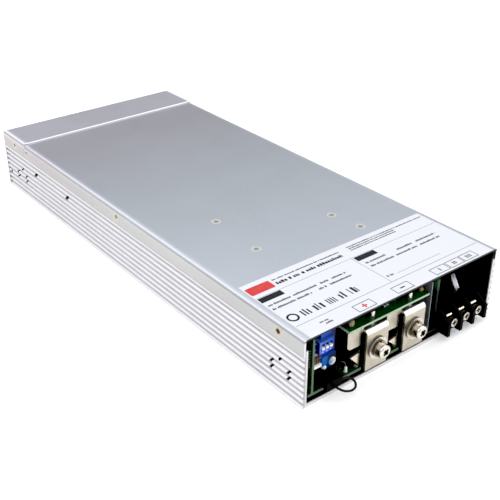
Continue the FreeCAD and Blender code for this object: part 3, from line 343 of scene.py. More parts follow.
def flush_head(name, axes, centres, shades, faint=None):
    """Countersunk screws along the third axis: pale rim, and a brown cross recess in the middle, its darkness painted
    shade.
    """
    s = Shader(name, Metallic=0.80)
    cloud = s.noise(s.coords(), 900.0, 3.0, 0.55)
    near = None
    for a, b in centres:
        da = s.math("SUBTRACT", s.part(axes[0]), a)
        db = s.math("SUBTRACT", s.part(axes[1]), b)
        far = s.math("SQRT", s.math("ADD", s.math("MULTIPLY", da, da), s.math("MULTIPLY", db, db)))
        near = far if near is None else s.math("MINIMUM", near, far)
    where = s.span(s.math("ADD", near, s.span(cloud, 0.3, 0.7, -0.0001, 0.0001)), 0.0, 0.0031, 0.0, 1.0)
    tone = s.ramp(where, list(zip((0.0, 0.30, 0.48, 0.64, 0.80, 1.0), shades)))
    if faint:
        # heads beyond a place along Y get less of the painted shade
        tone = s.mix(s.math("MULTIPLY", s.math("GREATER_THAN", s.part(1), faint), 0.78), tone, shades[4])
    s.colour(tone)
    s.rough(s.span(cloud, 0.3, 0.7, 0.28, 0.40))
    s.bump(cloud, 0.10, 0.00004)
    return s.mat


def lipped_tab():
    """Plated tab: the rolled lip is bright, the plate under it gets painted shade."""
    s = Shader("mains_tab", Metallic=1.0)
    cloud = s.noise(s.coords(), 320.0, 4.0, 0.55)
    grain = s.noise(s.coords(), 5200.0, 2.0, 0.5)
    tone = s.ramp(cloud, [(0.28, (0.62, 0.565, 0.44)), (0.72, (0.76, 0.70, 0.57))])
    # painted shade on the plate below the lip
    low = s.math("LESS_THAN", s.part(2), 0.01215)
    tone = s.mix(low, tone, s.ramp(cloud, [(0.3, (0.035, 0.027, 0.017)), (0.7, (0.080, 0.064, 0.042))]))
    s.colour(tone)
    s.rough(s.span(cloud, 0.3, 0.7, 0.18, 0.32))
    s.bump(grain, 0.08, 0.00003)
    return s.mat


def moulded(name, dark, light, rough=(0.42, 0.55), grain=2600.0, depth=0.16, coat=0.0, shine=0.5):
    s = Shader(name, Coat_Weight=coat, Coat_Roughness=0.12, Specular_IOR_Level=shine)
    cloud = s.noise(s.coords(), 160.0, 4.0, 0.55)
    skin = s.noise(s.coords(), grain, 3.0, 0.55)
    s.colour(s.ramp(cloud, [(0.3, dark), (0.7, light)]))
    s.rough(s.math("ADD", s.span(cloud, 0.3, 0.7, rough[0], rough[1]), s.span(skin, 0.3, 0.7, -0.03, 0.04)))
    s.bump(skin, depth, 0.00005)
    return s.mat


def across(name, axis, stops, rough=(0.26, 0.38), top_shading=(), shaded_left=None, shine=0.4):
    """Moulded plastic whose colour runs from one side to the other as painted light and shade: stops are (place in
    metres, colour); faces looking to -X and top faces above a height get painted shading too.
    """
    s = Shader(name, Specular_IOR_Level=shine)
    lo, hi = stops[0][0], stops[-1][0]
    cloud = s.noise(s.coords(), 260.0, 3.0, 0.55)
    skin = s.noise(s.coords(), 2400.0, 3.0, 0.55)
    where = s.span(s.math("ADD", s.part(axis), s.span(cloud, 0.3, 0.7, -0.0003, 0.0003)), lo, hi, 0.0, 1.0)
    tone = s.ramp(where, [((p - lo) / (hi - lo), c) for p, c in stops])
    # painted shade on the faces looking to -X
    if shaded_left:
        tone = s.mix(s.facing(0, -1), tone, shaded_left)
    # painted shading on top faces above each height
    for height, shade in top_shading:
        tone = s.mix(s.math("MULTIPLY", s.facing(2, 1), s.math("GREATER_THAN", s.part(2), height)), tone, shade)
    s.colour(tone)
    s.rough(s.span(cloud, 0.3, 0.7, rough[0], rough[1]))
    s.bump(skin, 0.08, 0.00005)
    return s.mat


def capped_white():
    """White header shell, its front lip toned brown by the insert."""
    s = Shader("header_plastic", Specular_IOR_Level=0.4)
    cloud = s.noise(s.coords(), 160.0, 4.0, 0.55)
    skin = s.noise(s.coords(), 2600.0, 3.0, 0.55)
    tone = s.ramp(cloud, [(0.3, (0.72, 0.70, 0.66)), (0.7, (0.80, 0.78, 0.75))])
    lip = s.math("MULTIPLY", s.math("LESS_THAN", s.part(1), -0.1553), s.math("GREATER_THAN", s.part(2), 0.0237))
    s.colour(s.mix(lip, tone, s.ramp(cloud, [(0.3, (0.085, 0.040, 0.022)), (0.7, (0.13, 0.065, 0.036))])))
    s.rough(s.span(cloud, 0.3, 0.7, 0.36, 0.48))
    s.bump(skin, 0.12, 0.00005)
    return s.mat


def coated_disc(axis):
    """A dipped disc part: navy on its two faces, white round its rim as a painted highlight, tinned leads."""
    s = Shader("disc_coating", Specular_IOR_Level=0.35)
    cloud = s.noise(s.coords(), 420.0, 4.0, 0.6)
    tc = s.add("ShaderNodeTexCoord")
    dot = s.add("ShaderNodeVectorMath", operation="DOT_PRODUCT")
    s.tree.links.new(tc.outputs["Normal"], dot.inputs[0])
    dot.inputs[1].default_value = Vector(axis).normalized()
    face = s.math("GREATER_THAN", s.math("ABSOLUTE", dot.outputs["Value"]), 0.80)
    coat = s.ramp(cloud, [(0.3, (0.016, 0.026, 0.34)), (0.7, (0.030, 0.045, 0.46))])
    # painted highlight: white round the rim
    rim_highlight = s.ramp(cloud, [(0.3, (0.93, 0.92, 0.88)), (0.7, (0.98, 0.97, 0.94))])
    tone = s.mix(face, rim_highlight, coat)
    s.colour(s.mix(s.math("LESS_THAN", s.part(2), 0.0155), tone, (0.10, 0.10, 0.095)))
    s.rough(s.span(cloud, 0.3, 0.7, 0.24, 0.40))
    s.bump(cloud, 0.25, 0.0001)
    return s.mat


def board(name, axis, face=(0.0030, 0.030, 0.0085), edge=(0.36, 0.50, 0.34), shade_span=None):
    """Solder resist on the two faces that look along the axis, bare laminate on the edges."""
    s = Shader(name, Specular_IOR_Level=0.22)
    flat = s.axis_face(axis)
    v = s.coords()
    cells = s.voronoi(v, 260.0, "DISTANCE_TO_EDGE", randomness=0.85)
    track = s.math("LESS_THAN", cells, 0.055)
    pour = s.math("GREATER_THAN", s.noise(v, 95.0, 2.0, 0.4), 0.53)
    via_d = s.voronoi(v, 420.0, "F1", randomness=0.9)
    via = s.math("LESS_THAN", via_d, 0.10)
    mask = s.mix(s.math("MULTIPLY", pour, 0.55), face, tuple(1.9 * c for c in face))
    mask = s.mix(s.math("MULTIPLY", track, 0.7), mask, tuple(2.6 * c for c in face))
    mask = s.mix(s.math("MULTIPLY", via, 0.8), mask, (0.42, 0.44, 0.34))
    layer = s.noise(s.coords(500, 500, 500) if axis == 2 else s.coords(400, 400, 400), 2.0, 4.0, 0.6)
    bare = s.ramp(layer, [(0.3, tuple(0.78 * c for c in edge)), (0.7, tuple(1.12 * c for c in edge))])
    tone = s.mix(flat, bare, mask)
    if shade_span:
        # painted shade darkens one end of the board
        where, lo, hi, a, b = shade_span
        tone = s.mix(s.span(s.part(where), lo, hi, a, b), (0.0008, 0.0022, 0.0011), tone)
    s.colour(tone)
    s.rough(s.mix(flat, (0.62, 0.62, 0.62), s.ramp(s.noise(v, 300.0, 3.0), [(0.3, 0.26), (0.7, 0.38)])))
    s.bump(s.math("ADD", s.math("MULTIPLY", track, 0.5), s.math("MULTIPLY", layer, 0.3)), 0.2, 0.00003)
    return s.mat


def winding(name, direction, dark, light, scale):
    s = Shader(name, Metallic=0.55)
    turns = s.wave(s.coords(), scale, direction, 0.6)
    cloud = s.noise(s.coords(), 120.0, 3.0)
    s.colour(s.mix(s.span(cloud, 0.3, 0.7, 0.0, 0.4), s.ramp(turns, [(0.1, dark), (0.6, light)]), dark))
    s.rough(s.span(cloud, 0.3, 0.7, 0.28, 0.42))
    s.bump(turns, 0.7, 0.0004)
    return s.mat


def sleeve(name, body, stripe, axis, coat=0.25, ends=1):
    s = Shader(name, Coat_Weight=coat, Coat_Roughness=0.15, Specular_IOR_Level=0.5 * coat + 0.04)
    band = s.math("GREATER_THAN", s.wave(s.coords(), 18.0, "XYZ"[axis], 0.4), 0.86)
    cloud = s.noise(s.coords(), 220.0, 3.0)
    end = s.axis_face(ends)
    skin = s.mix(band, s.ramp(cloud, [(0.3, body), (0.7, tuple(1.5 * c for c in body))]), stripe)
    s.colour(s.mix(end, skin, (0.55, 0.56, 0.57)))
    s.metal(end)
    s.rough(s.span(cloud, 0.3, 0.7, 0.30, 0.42))
    s.bump(s.noise(s.coords(), 2400.0, 2.0), 0.08, 0.00005)
    return s.mat


def smoky_film():
    s = Shader("grey_film", Alpha=0.86)
    cloud = s.noise(s.coords(), 120.0, 4.0)
    face = s.axis_face(0)
    s.colour(s.mix(face, (0.24, 0.26, 0.26), s.ramp(cloud, [(0.3, (0.085, 0.089, 0.095)), (0.7, (0.125, 0.130, 0.138))])))
    s.rough(s.span(cloud, 0.3, 0.7, 0.24, 0.36))
    s.bump(cloud, 0.2, 0.0002)
    return s.mat


BLACK = moulded("black_plastic", (0.0018, 0.0018, 0.002), (0.004, 0.004, 0.0043), (0.34, 0.46), shine=0.03)
BLACK_DULL = moulded("black_sheet", (0.0012, 0.0012, 0.0014), (0.003, 0.003, 0.0032), (0.55, 0.66), 1500.0, shine=0.03)
FAN_BLACK = moulded("fan_plastic", (0.008, 0.008, 0.009), (0.016, 0.016, 0.017), (0.30, 0.42), shine=0.3)
FAN_BLADE = moulded("fan_blade_plastic", (0.060, 0.061, 0.064), (0.090, 0.091, 0.094), (0.28, 0.40), shine=0.4)
PLATE = plated("nickel_plate", (0.50, 0.455, 0.36), (0.62, 0.575, 0.48), (0.24, 0.36), fold_highlight=True)
BAR = plated("nickel_bar", (0.52, 0.475, 0.375), (0.645, 0.60, 0.50), (0.24, 0.36), low=0.0152)
BOLT = plated("nickel_bolt", (0.60, 0.56, 0.49), (0.78, 0.74, 0.67), (0.14, 0.26))
ZINC = plated("zinc_screw", (0.58, 0.555, 0.50), (0.72, 0.70, 0.64), (0.26, 0.40))
BRASS = plated("turned_brass", (0.55, 0.40, 0.16), (0.70, 0.54, 0.26), (0.20, 0.34))
TOP_HEADS = flush_head("top_screw_steel", (0, 1), [(x * MM, (y - Y_MID) * MM) for x, y in ((-32.3, 119.6), (-34.0, 80.5), (25.4, 84.5), (28.8, 64.0))],
                       ((0.58, 0.54, 0.49), (0.60, 0.56, 0.51), (0.64, 0.60, 0.56), (0.74, 0.71, 0.67), (0.80, 0.78, 0.75), (0.76, 0.75, 0.73)))
SIDE_HEADS = flush_head("side_screw_steel", (1, 2), [((y - Y_MID) * MM, 0.0353) for y in (18.9, 168.5, 307.2)],
                        ((0.085, 0.065, 0.042), (0.12, 0.09, 0.06), (0.34, 0.29, 0.21), (0.50, 0.46, 0.37), (0.56, 0.53, 0.46), (0.54, 0.52, 0.47)), -0.10)
BOLT_AXES = ((-0.0211, 0.0152), (0.0060, 0.0152))
HEAD = fastener("bolt_head", (0.66, 0.62, 0.54), (0.84, 0.80, 0.71), (0.030, 0.022, 0.012), BOLT_AXES, -0.16572, under=True, ring_shade=(0.0014, 0.0022, 0.55))
WASHER = fastener("washer_steel", (0.58, 0.52, 0.41), (0.86, 0.82, 0.73), (0.012, 0.008, 0.003), metal=0.75)
SPRING = fastener("washer_spring", (0.26, 0.20, 0.13), (0.50, 0.44, 0.34), (0.012, 0.008, 0.003), metal=0.85)
MAINS_SCREW = fastener("mains_screw", (0.62, 0.58, 0.50), (0.80, 0.76, 0.69), (0.13, 0.11, 0.08), ((0.0335, 0.0090), (0.0435, 0.0090), (0.0535, 0.0090)), -0.16408,
                       ring_shade=(0.0008, 0.0018, 0.75), right_side_shade=0.60)
DULL_TIN = plated("old_solder", (0.10, 0.105, 0.10), (0.19, 0.195, 0.185), (0.35, 0.5))
TIN = plated("solder_tin", (0.58, 0.58, 0.57), (0.74, 0.74, 0.73), (0.22, 0.40))
SINK = plated("mill_aluminium", (0.60, 0.61, 0.62), (0.72, 0.73, 0.74), (0.30, 0.45))
# the blue, teal and rotor colours run across each part as painted light and shade
BLUE = across("blue_plastic", 0, ((-0.0575, (0.14, 0.19, 0.62)), (-0.0545, (0.047, 0.11, 0.53)), (-0.0500, (0.019, 0.080, 0.47)),
                                (-0.0486, (0.012, 0.050, 0.32)), (-0.0477, (0.004, 0.014, 0.12)), (-0.0454, (0.002, 0.006, 0.05))),
              top_shading=((0.0305, (0.05, 0.13, 0.44)), (0.0352, (0.50, 0.51, 0.62))), shaded_left=(0.012, 0.020, 0.15), shine=0.15)
TEAL = across("teal_plastic", 0, ((-0.0546, (0.016, 0.125, 0.42)), (-0.0518, (0.012, 0.095, 0.34)), (-0.0505, (0.004, 0.020, 0.085)), (-0.0456, (0.003, 0.006, 0.020))),
              top_shading=((0.0208, (0.020, 0.070, 0.34)),), shine=0.05)
ROTOR = across("rotor_plastic", 0, ((-0.0507, (0.06, 0.15, 0.34)), (-0.0490, (0.22, 0.30, 0.42)), (-0.0478, (0.58, 0.58, 0.56)), (-0.0459, (0.64, 0.63, 0.58))))
PALE_BLUE = moulded("pale_blue_mark", (0.26, 0.34, 0.78), (0.36, 0.45, 0.88), (0.36, 0.48))
WHITE = moulded("white_plastic", (0.74, 0.73, 0.69), (0.82, 0.81, 0.78), (0.36, 0.48))
BROWN = moulded("brown_plastic", (0.070, 0.030, 0.016), (0.115, 0.052, 0.028), (0.36, 0.5))
SILICONE = moulded("white_silicone", (0.76, 0.75, 0.71), (0.88, 0.87, 0.84), (0.34, 0.5), 900.0, 0.25)
DISC = coated_disc((0.685, -0.616, 0.390))
YELLOW = moulded("yellow_case", (0.52, 0.36, 0.05), (0.62, 0.46, 0.09), (0.30, 0.42), 1800.0, 0.1, 0.2)
CERAMIC = moulded("ceramic_tube", (0.72, 0.70, 0.64), (0.82, 0.80, 0.75), (0.30, 0.45))
FERRITE = moulded("ferrite", (0.040, 0.040, 0.043), (0.075, 0.075, 0.08), (0.40, 0.58), 3200.0, 0.3)
TAN = moulded("tan_chip", (0.30, 0.21, 0.12), (0.42, 0.32, 0.20), (0.35, 0.5), 1800.0, 0.1)
OLIVE = moulded("olive_coating", (0.20, 0.165, 0.065), (0.31, 0.265, 0.12), (0.30, 0.42), 1400.0, 0.10)
OCHRE = moulded("ochre_coating", (0.30, 0.19, 0.04), (0.44, 0.30, 0.08), (0.30, 0.42), 1400.0, 0.12)
CAN = moulded("grey_can", (0.20, 0.20, 0.21), (0.34, 0.34, 0.35), (0.30, 0.42), 1400.0, 0.08)
LED = moulded("led_lens", (0.55, 0.62, 0.86), (0.72, 0.80, 0.98), (0.08, 0.16), 1500.0, 0.03, 0.6)
COVER, CHASSIS, LABEL, FILM = cover_sheet(), extrusion(), label_film(), smoky_film()
# the rear strip gets painted shade on its folded sides and along its rolled front end
REAR = cover_sheet("rear_sheet", 1.25, 0.1329, ((0.0, 0.68), (1.0, 0.68)))
BLACK_INK = ink("black_ink", (0.010, 0.010, 0.012), (0.022, 0.022, 0.025))
GREY_INK = ink("grey_ink", (0.045, 0.045, 0.050), (0.085, 0.085, 0.092))
RED_INK = ink("red_ink", (0.52, 0.040, 0.040), (0.60, 0.070, 0.066))
WHITE_INK = ink("white_ink", (0.78, 0.78, 0.79), (0.86, 0.86, 0.87))

FINISH = {
    "base_chassis": CHASSIS, "top_cover": COVER, "rear_panel": REAR, "rating_label": LABEL,
    "cover_side_screws": SIDE_HEADS, "cover_top_screws": TOP_HEADS, "base_insulation_sheet": BLACK_DULL, "divider_sheet": FILM,
    # the main, control and mains boards get darker edges, and the main board a darker face, as painted shade
    "main_pcb": board("main_board", 2, face=(0.0022, 0.018, 0.0060), edge=(0.095, 0.140, 0.092), shade_span=(0, 0.0135, 0.0150, 1.0, 0.05)),
    "control_pcb": board("control_board", 0, edge=(0.105, 0.145, 0.095)),
    "output_pcb": board("output_board", 2),
    "ac_sense_pcb": board("mains_board", 0, face=(0.026, 0.075, 0.032), edge=(0.05, 0.11, 0.05), shade_span=(2, 0.0275, 0.0320, 0.02, 1.0)),
    "pcb_standoffs": BRASS, "pcb_screws": ZINC, "output_pcb_screws": BOLT,
    "terminal_plate_pos": PLATE, "terminal_plate_neg": PLATE,
    "terminal_insulator_pos": BLACK, "terminal_insulator_neg": BLACK,
    "terminal_bolts": HEAD, "terminal_spring_washers": SPRING, "terminal_flat_washers": WASHER, "terminal_nuts": BOLT,
    "busbar_pos": BAR, "busbar_neg": BAR,
    "dip_switch_body": BLUE, "dip_slider_1": WHITE, "dip_slider_2": WHITE, "dip_slider_3": WHITE,
    "trim_pot_body": TEAL, "trim_pot_rotor": ROTOR, "signal_header": capped_white(),
    "control_header": BLACK, "control_plug": BLACK, "status_led": LED,
    "ac_terminal_block": BLACK, "ac_terminal_tabs": lipped_tab(), "ac_terminal_screws": MAINS_SCREW,
    # the fuse and the X capacitors take dark materials as painted shade
    "varistor": DISC, "ac_fuse": BLACK_DULL, "x_capacitors": FERRITE, "emi_choke_core": FERRITE,
    "emi_choke_winding": winding("emi_wire", "Y", (0.20, 0.075, 0.02), (0.52, 0.24, 0.08), 160.0),
    "bulk_capacitors": sleeve("bulk_sleeve", (0.012, 0.013, 0.022), (0.45, 0.45, 0.47), 2),
    "pfc_choke_core": FERRITE,
    "pfc_choke_winding": winding("pfc_wire", "Y", (0.20, 0.075, 0.02), (0.52, 0.24, 0.08), 130.0),
    "transformer_core": FERRITE,
    "transformer_winding": winding("transformer_tape", "Y", (0.40, 0.28, 0.05), (0.62, 0.46, 0.10), 60.0),
    "primary_heatsink": SINK, "secondary_heatsink": SINK, "power_transistors": BLACK,
    "output_capacitors": sleeve("output_sleeve", (0.0025, 0.003, 0.005), (0.010, 0.011, 0.014), 0, 0.03, 2),
    "fan_frame_1": FAN_BLACK, "fan_frame_2": FAN_BLACK, "fan_frame_3": FAN_BLACK,
    "fan_rotor_1": FAN_BLADE, "fan_rotor_2": FAN_BLADE, "fan_rotor_3": FAN_BLADE, "fan_screws": ZINC,
}
for name, mat in FINISH.items():
    mesh = nodes[name].data
    mesh.materials.clear()
    mesh.materials.append(mat)


for name, width in (("ac_terminal_block", 0.25), ("control_header", 0.18), ("control_plug", 0.25), ("signal_header", 0.22), ("dip_switch_body", 0.14),
                    ("trim_pot_body", 0.22), ("fan_frame_1", 0.3), ("fan_frame_2", 0.3), ("fan_frame_3", 0.3), ("busbar_pos", 0.12), ("busbar_neg", 0.12),
                    ("terminal_plate_pos", 0.14), ("terminal_plate_neg", 0.14), ("ac_terminal_tabs", 0.12), ("terminal_nuts", 0.2),
                    ("terminal_flat_washers", 0.16), ("terminal_spring_washers", 0.14), ("x_capacitors", 0.5), ("power_transistors", 0.2),
                    ("trim_pot_rotor", 0.12), ("dip_slider_1", 0.1), ("dip_slider_2", 0.1), ("dip_slider_3", 0.1)):
    soft = nodes[name].modifiers.new("broken_edges", "BEVEL")
    soft.width = width * MM
    soft.segments = 2
    soft.limit_method = "ANGLE"
    soft.angle_limit = math.radians(40)
    soft.use_clamp_overlap = True


# ------------------------------------------------------------------ mesh helpers
class Piece:
    """One visible piece, gathered from several bodies of mesh, with its materials."""

    def __init__(self, name):
        self.name, self.bm, self.mats = name, bmesh.new(), []

    def slot_of(self, mat):
        if mat not in self.mats:
            self.mats.append(mat)
        return self.mats.index(mat)

    def take(self, part, mat):
        """Adds a bmesh to the piece."""
        k = self.slot_of(mat)
        for f in part.faces:
            f.material_index = k
        mesh = bpy.data.meshes.new("tmp")
        part.to_mesh(mesh)
        part.free()
        self.bm.from_mesh(mesh)
        bpy.data.meshes.remove(mesh)
        return self

    def block(self, lo, hi, mat, edge=0.0, segments=1, turn=None):
        """A box between two corners in millimetres, with its edges broken."""
        part = bmesh.new()
        bmesh.ops.create_cube(part, size=1.0)
        a, b = at(*lo), at(*hi)
        size, mid = b - a, (a + b) / 2
        for v in part.verts:
            v.co = Vector((v.co.x * size.x, v.co.y * size.y, v.co.z * size.z))
        if edge > 0:
            bmesh.ops.bevel(part, geom=part.edges[:], offset=edge * MM, offset_type="OFFSET", segments=segments,
                            profile=0.5, affect="EDGES", clamp_overlap=True)
        m = Matrix.Translation(mid) @ (turn or Matrix.Identity(4))
        bmesh.ops.transform(part, matrix=m, verts=part.verts[:])
        return self.take(part, mat)

    def turned(self, centre, axis, profile, mat, segments=32):
        """A body of revolution: profile is (distance along the axis, radius) in millimetres, closed at both ends."""
        part = bmesh.new()
        rings = []
        for d, r in profile:
            if r <= 1e-6:
                rings.append([part.verts.new((0, 0, d * MM))])
            else:
                rings.append([part.verts.new((r * MM * math.cos(2 * math.pi * k / segments),
                                              r * MM * math.sin(2 * math.pi * k / segments), d * MM)) for k in range(segments)])
        for a, b in zip(rings, rings[1:]):
            for k in range(segments):
                n = (k + 1) % segments
                if len(a) == 1 and len(b) == 1:
                    continue
                if len(a) == 1:
                    part.faces.new((a[0], b[n], b[k]))
                elif len(b) == 1:
                    part.faces.new((a[k], a[n], b[0]))
                else:
                    part.faces.new((a[k], a[n], b[n], b[k]))
        for ring, flip in ((rings[0], True), (rings[-1], False)):
            if len(ring) > 1:
                part.faces.new(ring[::-1] if flip else ring)
        bmesh.ops.recalc_face_normals(part, faces=part.faces[:])
        turn = Vector((0, 0, 1)).rotation_difference(Vector(axis)).to_matrix().to_4x4()
        bmesh.ops.transform(part, matrix=Matrix.Translation(at(*centre)) @ turn, verts=part.verts[:])
        return self.take(part, mat)

    def plate(self, outline, z0, z1, mat):
        """A flat body over an outline of (x, y) in millimetres."""
        part = bmesh.new()
        lower = [part.verts.new(at(x, y, z0)) for x, y in outline]
        upper = [part.verts.new(at(x, y, z1)) for x, y in outline]
        n = len(outline)
        part.faces.new(upper)
        part.faces.new(lower[::-1])
        for k in range(n):
            part.faces.new((lower[k], lower[(k + 1) % n], upper[(k + 1) % n], upper[k]))
        bmesh.ops.recalc_face_normals(part, faces=part.faces[:])
        return self.take(part, mat)

    def ring(self, x, y, r_in, r_out, z0, z1, mat, segments=40, start=0.0, sweep=360.0):
        """A flat ring, or part of one, on the label."""
        part = bmesh.new()
        full = sweep >= 359.9
        count = segments if full else segments + 1
        cols = []
        for k in range(count):
            a = math.radians(start + sweep * k / segments)
            c, s = math.cos(a), math.sin(a)
            cols.append([part.verts.new(at(x + r * c, y + r * s, z)) for r, z in ((r_in, z0), (r_out, z0), (r_out, z1), (r_in, z1))])
        last = count if full else count - 1
        for k in range(last):
            p, q = cols[k], cols[(k + 1) % count]
            for i in range(4):
                j = (i + 1) % 4
                part.faces.new((p[i], p[j], q[j], q[i]))
        if not full:
            part.faces.new(cols[0][::-1])
            part.faces.new(cols[-1])
        bmesh.ops.recalc_face_normals(part, faces=part.faces[:])
        return self.take(part, mat)

    def tube(self, points, r, mat, segments=10):
        """A round wire through points in millimetres, closed at both ends."""
        part = bmesh.new()
        pts = [at(*q) for q in points]
        up = Vector((0.31, 0.22, 0.92)).normalized()
        rings = []
        for k, q in enumerate(pts):
            ahead = (pts[min(k + 1, len(pts) - 1)] - pts[max(k - 1, 0)]).normalized()
            side = ahead.cross(up).normalized()
            other = side.cross(ahead).normalized()
            rings.append([part.verts.new(q + (side * math.cos(2 * math.pi * n / segments) + other * math.sin(2 * math.pi * n / segments)) * r * MM)
                          for n in range(segments)])
        for one, two in zip(rings, rings[1:]):
            for n in range(segments):
                m = (n + 1) % segments
                part.faces.new((one[n], one[m], two[m], two[n]))
        part.faces.new(rings[0][::-1])
        part.faces.new(rings[-1])
        bmesh.ops.recalc_face_normals(part, faces=part.faces[:])
        return self.take(part, mat)

    def dab(self, centre, radii, mat, seed, rough=0.10, rows=10, cols=18):
        """A soft irregular blob of paste, an uneven ball squeezed to three radii."""
        part = bmesh.new()
        pick = random.Random(seed)
        waves = [(pick.uniform(1.0, 3.0), pick.uniform(0, 6.28), pick.uniform(1.0, 3.0), pick.uniform(0, 6.28)) for _ in range(4)]
        c = at(*centre)
        rings = []
        for i in range(rows + 1):
            t = math.pi * i / rows
            ring = []
            for j in range(cols):
                a = 2 * math.pi * j / cols
                k = 1.0 + rough * sum(math.sin(m * t + q) * math.sin(round(n) * a + w) for m, q, n, w in waves) * math.sin(t)
                ring.append(Vector((math.sin(t) * math.cos(a) * radii[0], math.sin(t) * math.sin(a) * radii[1], math.cos(t) * radii[2])) * k * MM + c)
            rings.append(ring)
        top = part.verts.new(rings[0][0])
        low = part.verts.new(rings[-1][0])
        body = [[part.verts.new(q) for q in ring] for ring in rings[1:-1]]
        for j in range(cols):
            n = (j + 1) % cols
            part.faces.new((top, body[0][j], body[0][n]))
            part.faces.new((low, body[-1][n], body[-1][j]))
            for one, two in zip(body, body[1:]):
                part.faces.new((one[j], two[j], two[n], one[n]))
        bmesh.ops.recalc_face_normals(part, faces=part.faces[:])
        return self.take(part, mat)

    def done(self, body="case", smooth=35.0):
        mesh = bpy.data.meshes.new(self.name)
        self.bm.normal_update()
        if smooth:
            limit = math.radians(smooth)
            for f in self.bm.faces:
                f.smooth = True
            for e in self.bm.edges:
                if len(e.link_faces) != 2 or e.calc_face_angle(0.0) > limit:
                    e.smooth = False
        self.bm.to_mesh(mesh)
        self.bm.free()
        for m in self.mats:
            mesh.materials.append(m)
        obj = bpy.data.objects.new(self.name, mesh)
        scene.collection.objects.link(obj)
        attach(obj, body)
        return obj


# ------------------------------------------------------------------ print on the label
TOP = 40.12
INK_LO, INK_HI = TOP - 0.01, TOP + 0.025


def bar(p, x0, x1, y0, y1, mat):
    p.plate([(x0, y0), (x1, y0), (x1, y1), (x0, y1)], INK_LO, INK_HI, mat)


def words(p, spans, y, high, mat):
    """Rows of small blocks in place of writing."""
    for x0, x1 in spans:
        x = x0
        while x < x1 - 0.2:
            w = high * rng.uniform(0.46, 0.72)
            tall = high * rng.choice((0.76, 0.76, 0.84, 1.0))
            bar(p, x, min(x + w, x1), y, y + tall, mat)
            x += w + high * 0.16
            if rng.random() < 0.10:
                x += high * 0.5


def frame_box(p, x0, x1, y0, y1, mat, line=0.40):
    bar(p, x0, x1, y0, y0 + line, mat)
    bar(p, x0, x1, y1 - line, y1, mat)
    bar(p, x0, x0 + line, y0 + line, y1 - line, mat)
    bar(p, x1 - line, x1, y0 + line, y1 - line, mat)


ink_piece = Piece("label_print")
words(ink_piece, [(-48.2, -1.6)], 49.6, 1.15, GREY_INK)
words(ink_piece, [(-48.2, -33.0), (-31.2, -2.6)], 45.2, 2.3, BLACK_INK)
words(ink_piece, [(5.0, 40.0)], 47.0, 1.0, GREY_INK)
words(ink_piece, [(5.0, 40.0)], 48.8, 1.0, GREY_INK)
words(ink_piece, [(5.0, 64.5)], 50.6, 1.0, GREY_INK)
bar(ink_piece, -65.4, 65.4, 41.0, 41.18, GREY_INK)
bar(ink_piece, -65.4, 65.4, 11.0, 11.22, GREY_INK)
bar(ink_piece, -1.1, -0.9, 11.22, 41.0, GREY_INK)
for x0 in (-65.4, 0.2):
    bar(ink_piece, x0, x0 + 14.6, 36.4, 40.6, BLACK_INK)
words(ink_piece, [(-64.8, -50.2), (-48.8, -33.4), (-30.6, -25.4), (-22.8, -13.1)], 32.0, 1.5, GREY_INK)
words(ink_piece, [(-64.8, -50.4), (-49.4, -39.8), (-34.9, -29.8), (-27.2, -12.6)], 28.2, 1.5, GREY_INK)
words(ink_piece, [(1.8, 16.4), (25.2, 36.9), (40.1, 55.8)], 32.0, 1.5, GREY_INK)
words(ink_piece, [(1.8, 18.8), (20.8, 36.8), (39.4, 55.0)], 28.0, 1.5, GREY_INK)
words(ink_piece, [(0.9, 5.4)], 15.6, 1.5, GREY_INK)
bar(ink_piece, 7.6, 40.6, 15.4, 15.6, GREY_INK)
ink_piece.ring(-61.6, 17.9, 2.2, 3.3, INK_LO, INK_HI, BLACK_INK)
x = -56.0
for group, pitch in (((0.9, 0.9, 0.9), 1.9), ((1.3, 0.7, 1.3), 2.1), ((0.7, 0.7, 0.7, 0.7), 1.5), ((1.1, 1.1), 2.3), ((0.6, 1.6, 0.6), 2.2)):
    for w in group:
        bar(ink_piece, x, x + w, 15.2, 15.2 + rng.uniform(4.2, 5.8), BLACK_INK)
        x += pitch
    x += 2.2
for x0, x1 in ((-33.4, -21.4), (-6.6, 5.4), (22.0, 33.2), (33.9, 44.4), (45.0, 55.6)):
    frame_box(ink_piece, x0, x1, 1.3, 7.3, GREY_INK)
bar(ink_piece, -29.0, -25.8, 3.85, 4.75, RED_INK)
bar(ink_piece, -27.85, -26.95, 2.6, 3.85, RED_INK)
bar(ink_piece, -27.85, -26.95, 4.75, 6.0, RED_INK)
bar(ink_piece, -2.2, 1.0, 3.9, 4.75, BLACK_INK)
for xc, n in ((27.6, 1), (39.1, 2), (50.3, 3)):
    for k in range(n):
        bar(ink_piece, xc - 0.75 * n + 1.5 * k + 0.3, xc - 0.75 * n + 1.5 * k + 1.1, 3.0, 5.6, GREY_INK)
words(ink_piece, [(-54.6, -49.2)], 6.2, 1.2, GREY_INK)
words(ink_piece, [(-52.6, -48.2)], 4.0, 1.2, GREY_INK)
ink_piece.done(smooth=None)

field = Piece("label_red_field")
corner = []
for cx, cy, a0 in ((-50.9, 50.4, 0), (-64.4, 50.4, 90), (-64.4, 45.2, 180), (-50.9, 45.2, 270)):
    for k in range(7):
        a = math.radians(a0 + 15 * k)
        corner.append((cx + 0.9 * math.cos(a), cy + 0.9 * math.sin(a)))
field.plate(corner, INK_LO, INK_HI, RED_INK)
field.done(smooth=None)

# ------------------------------------------------------------------ small parts on the boards
def chip(p, x, y, z, long, wide, high, mat, turn=0.0):
    """A chip part lying on a board's top face: a body between two tinned ends."""
    c, s = math.cos(turn), math.sin(turn)
    m = Matrix.Rotation(turn, 4, "Z")

    def lump(along, length, w, h, material):
        px, py = x + along * c, y + along * s
        p.block((px - length / 2, py - w / 2, z), (px + length / 2, py + w / 2, z + h), material, 0.06, 1, m)

    lump(0.0, long * 0.62, wide * 0.96, high * 0.97, mat)
    lump(-0.405 * long, long * 0.19, wide, high, TIN)
    lump(0.405 * long, long * 0.19, wide, high, TIN)


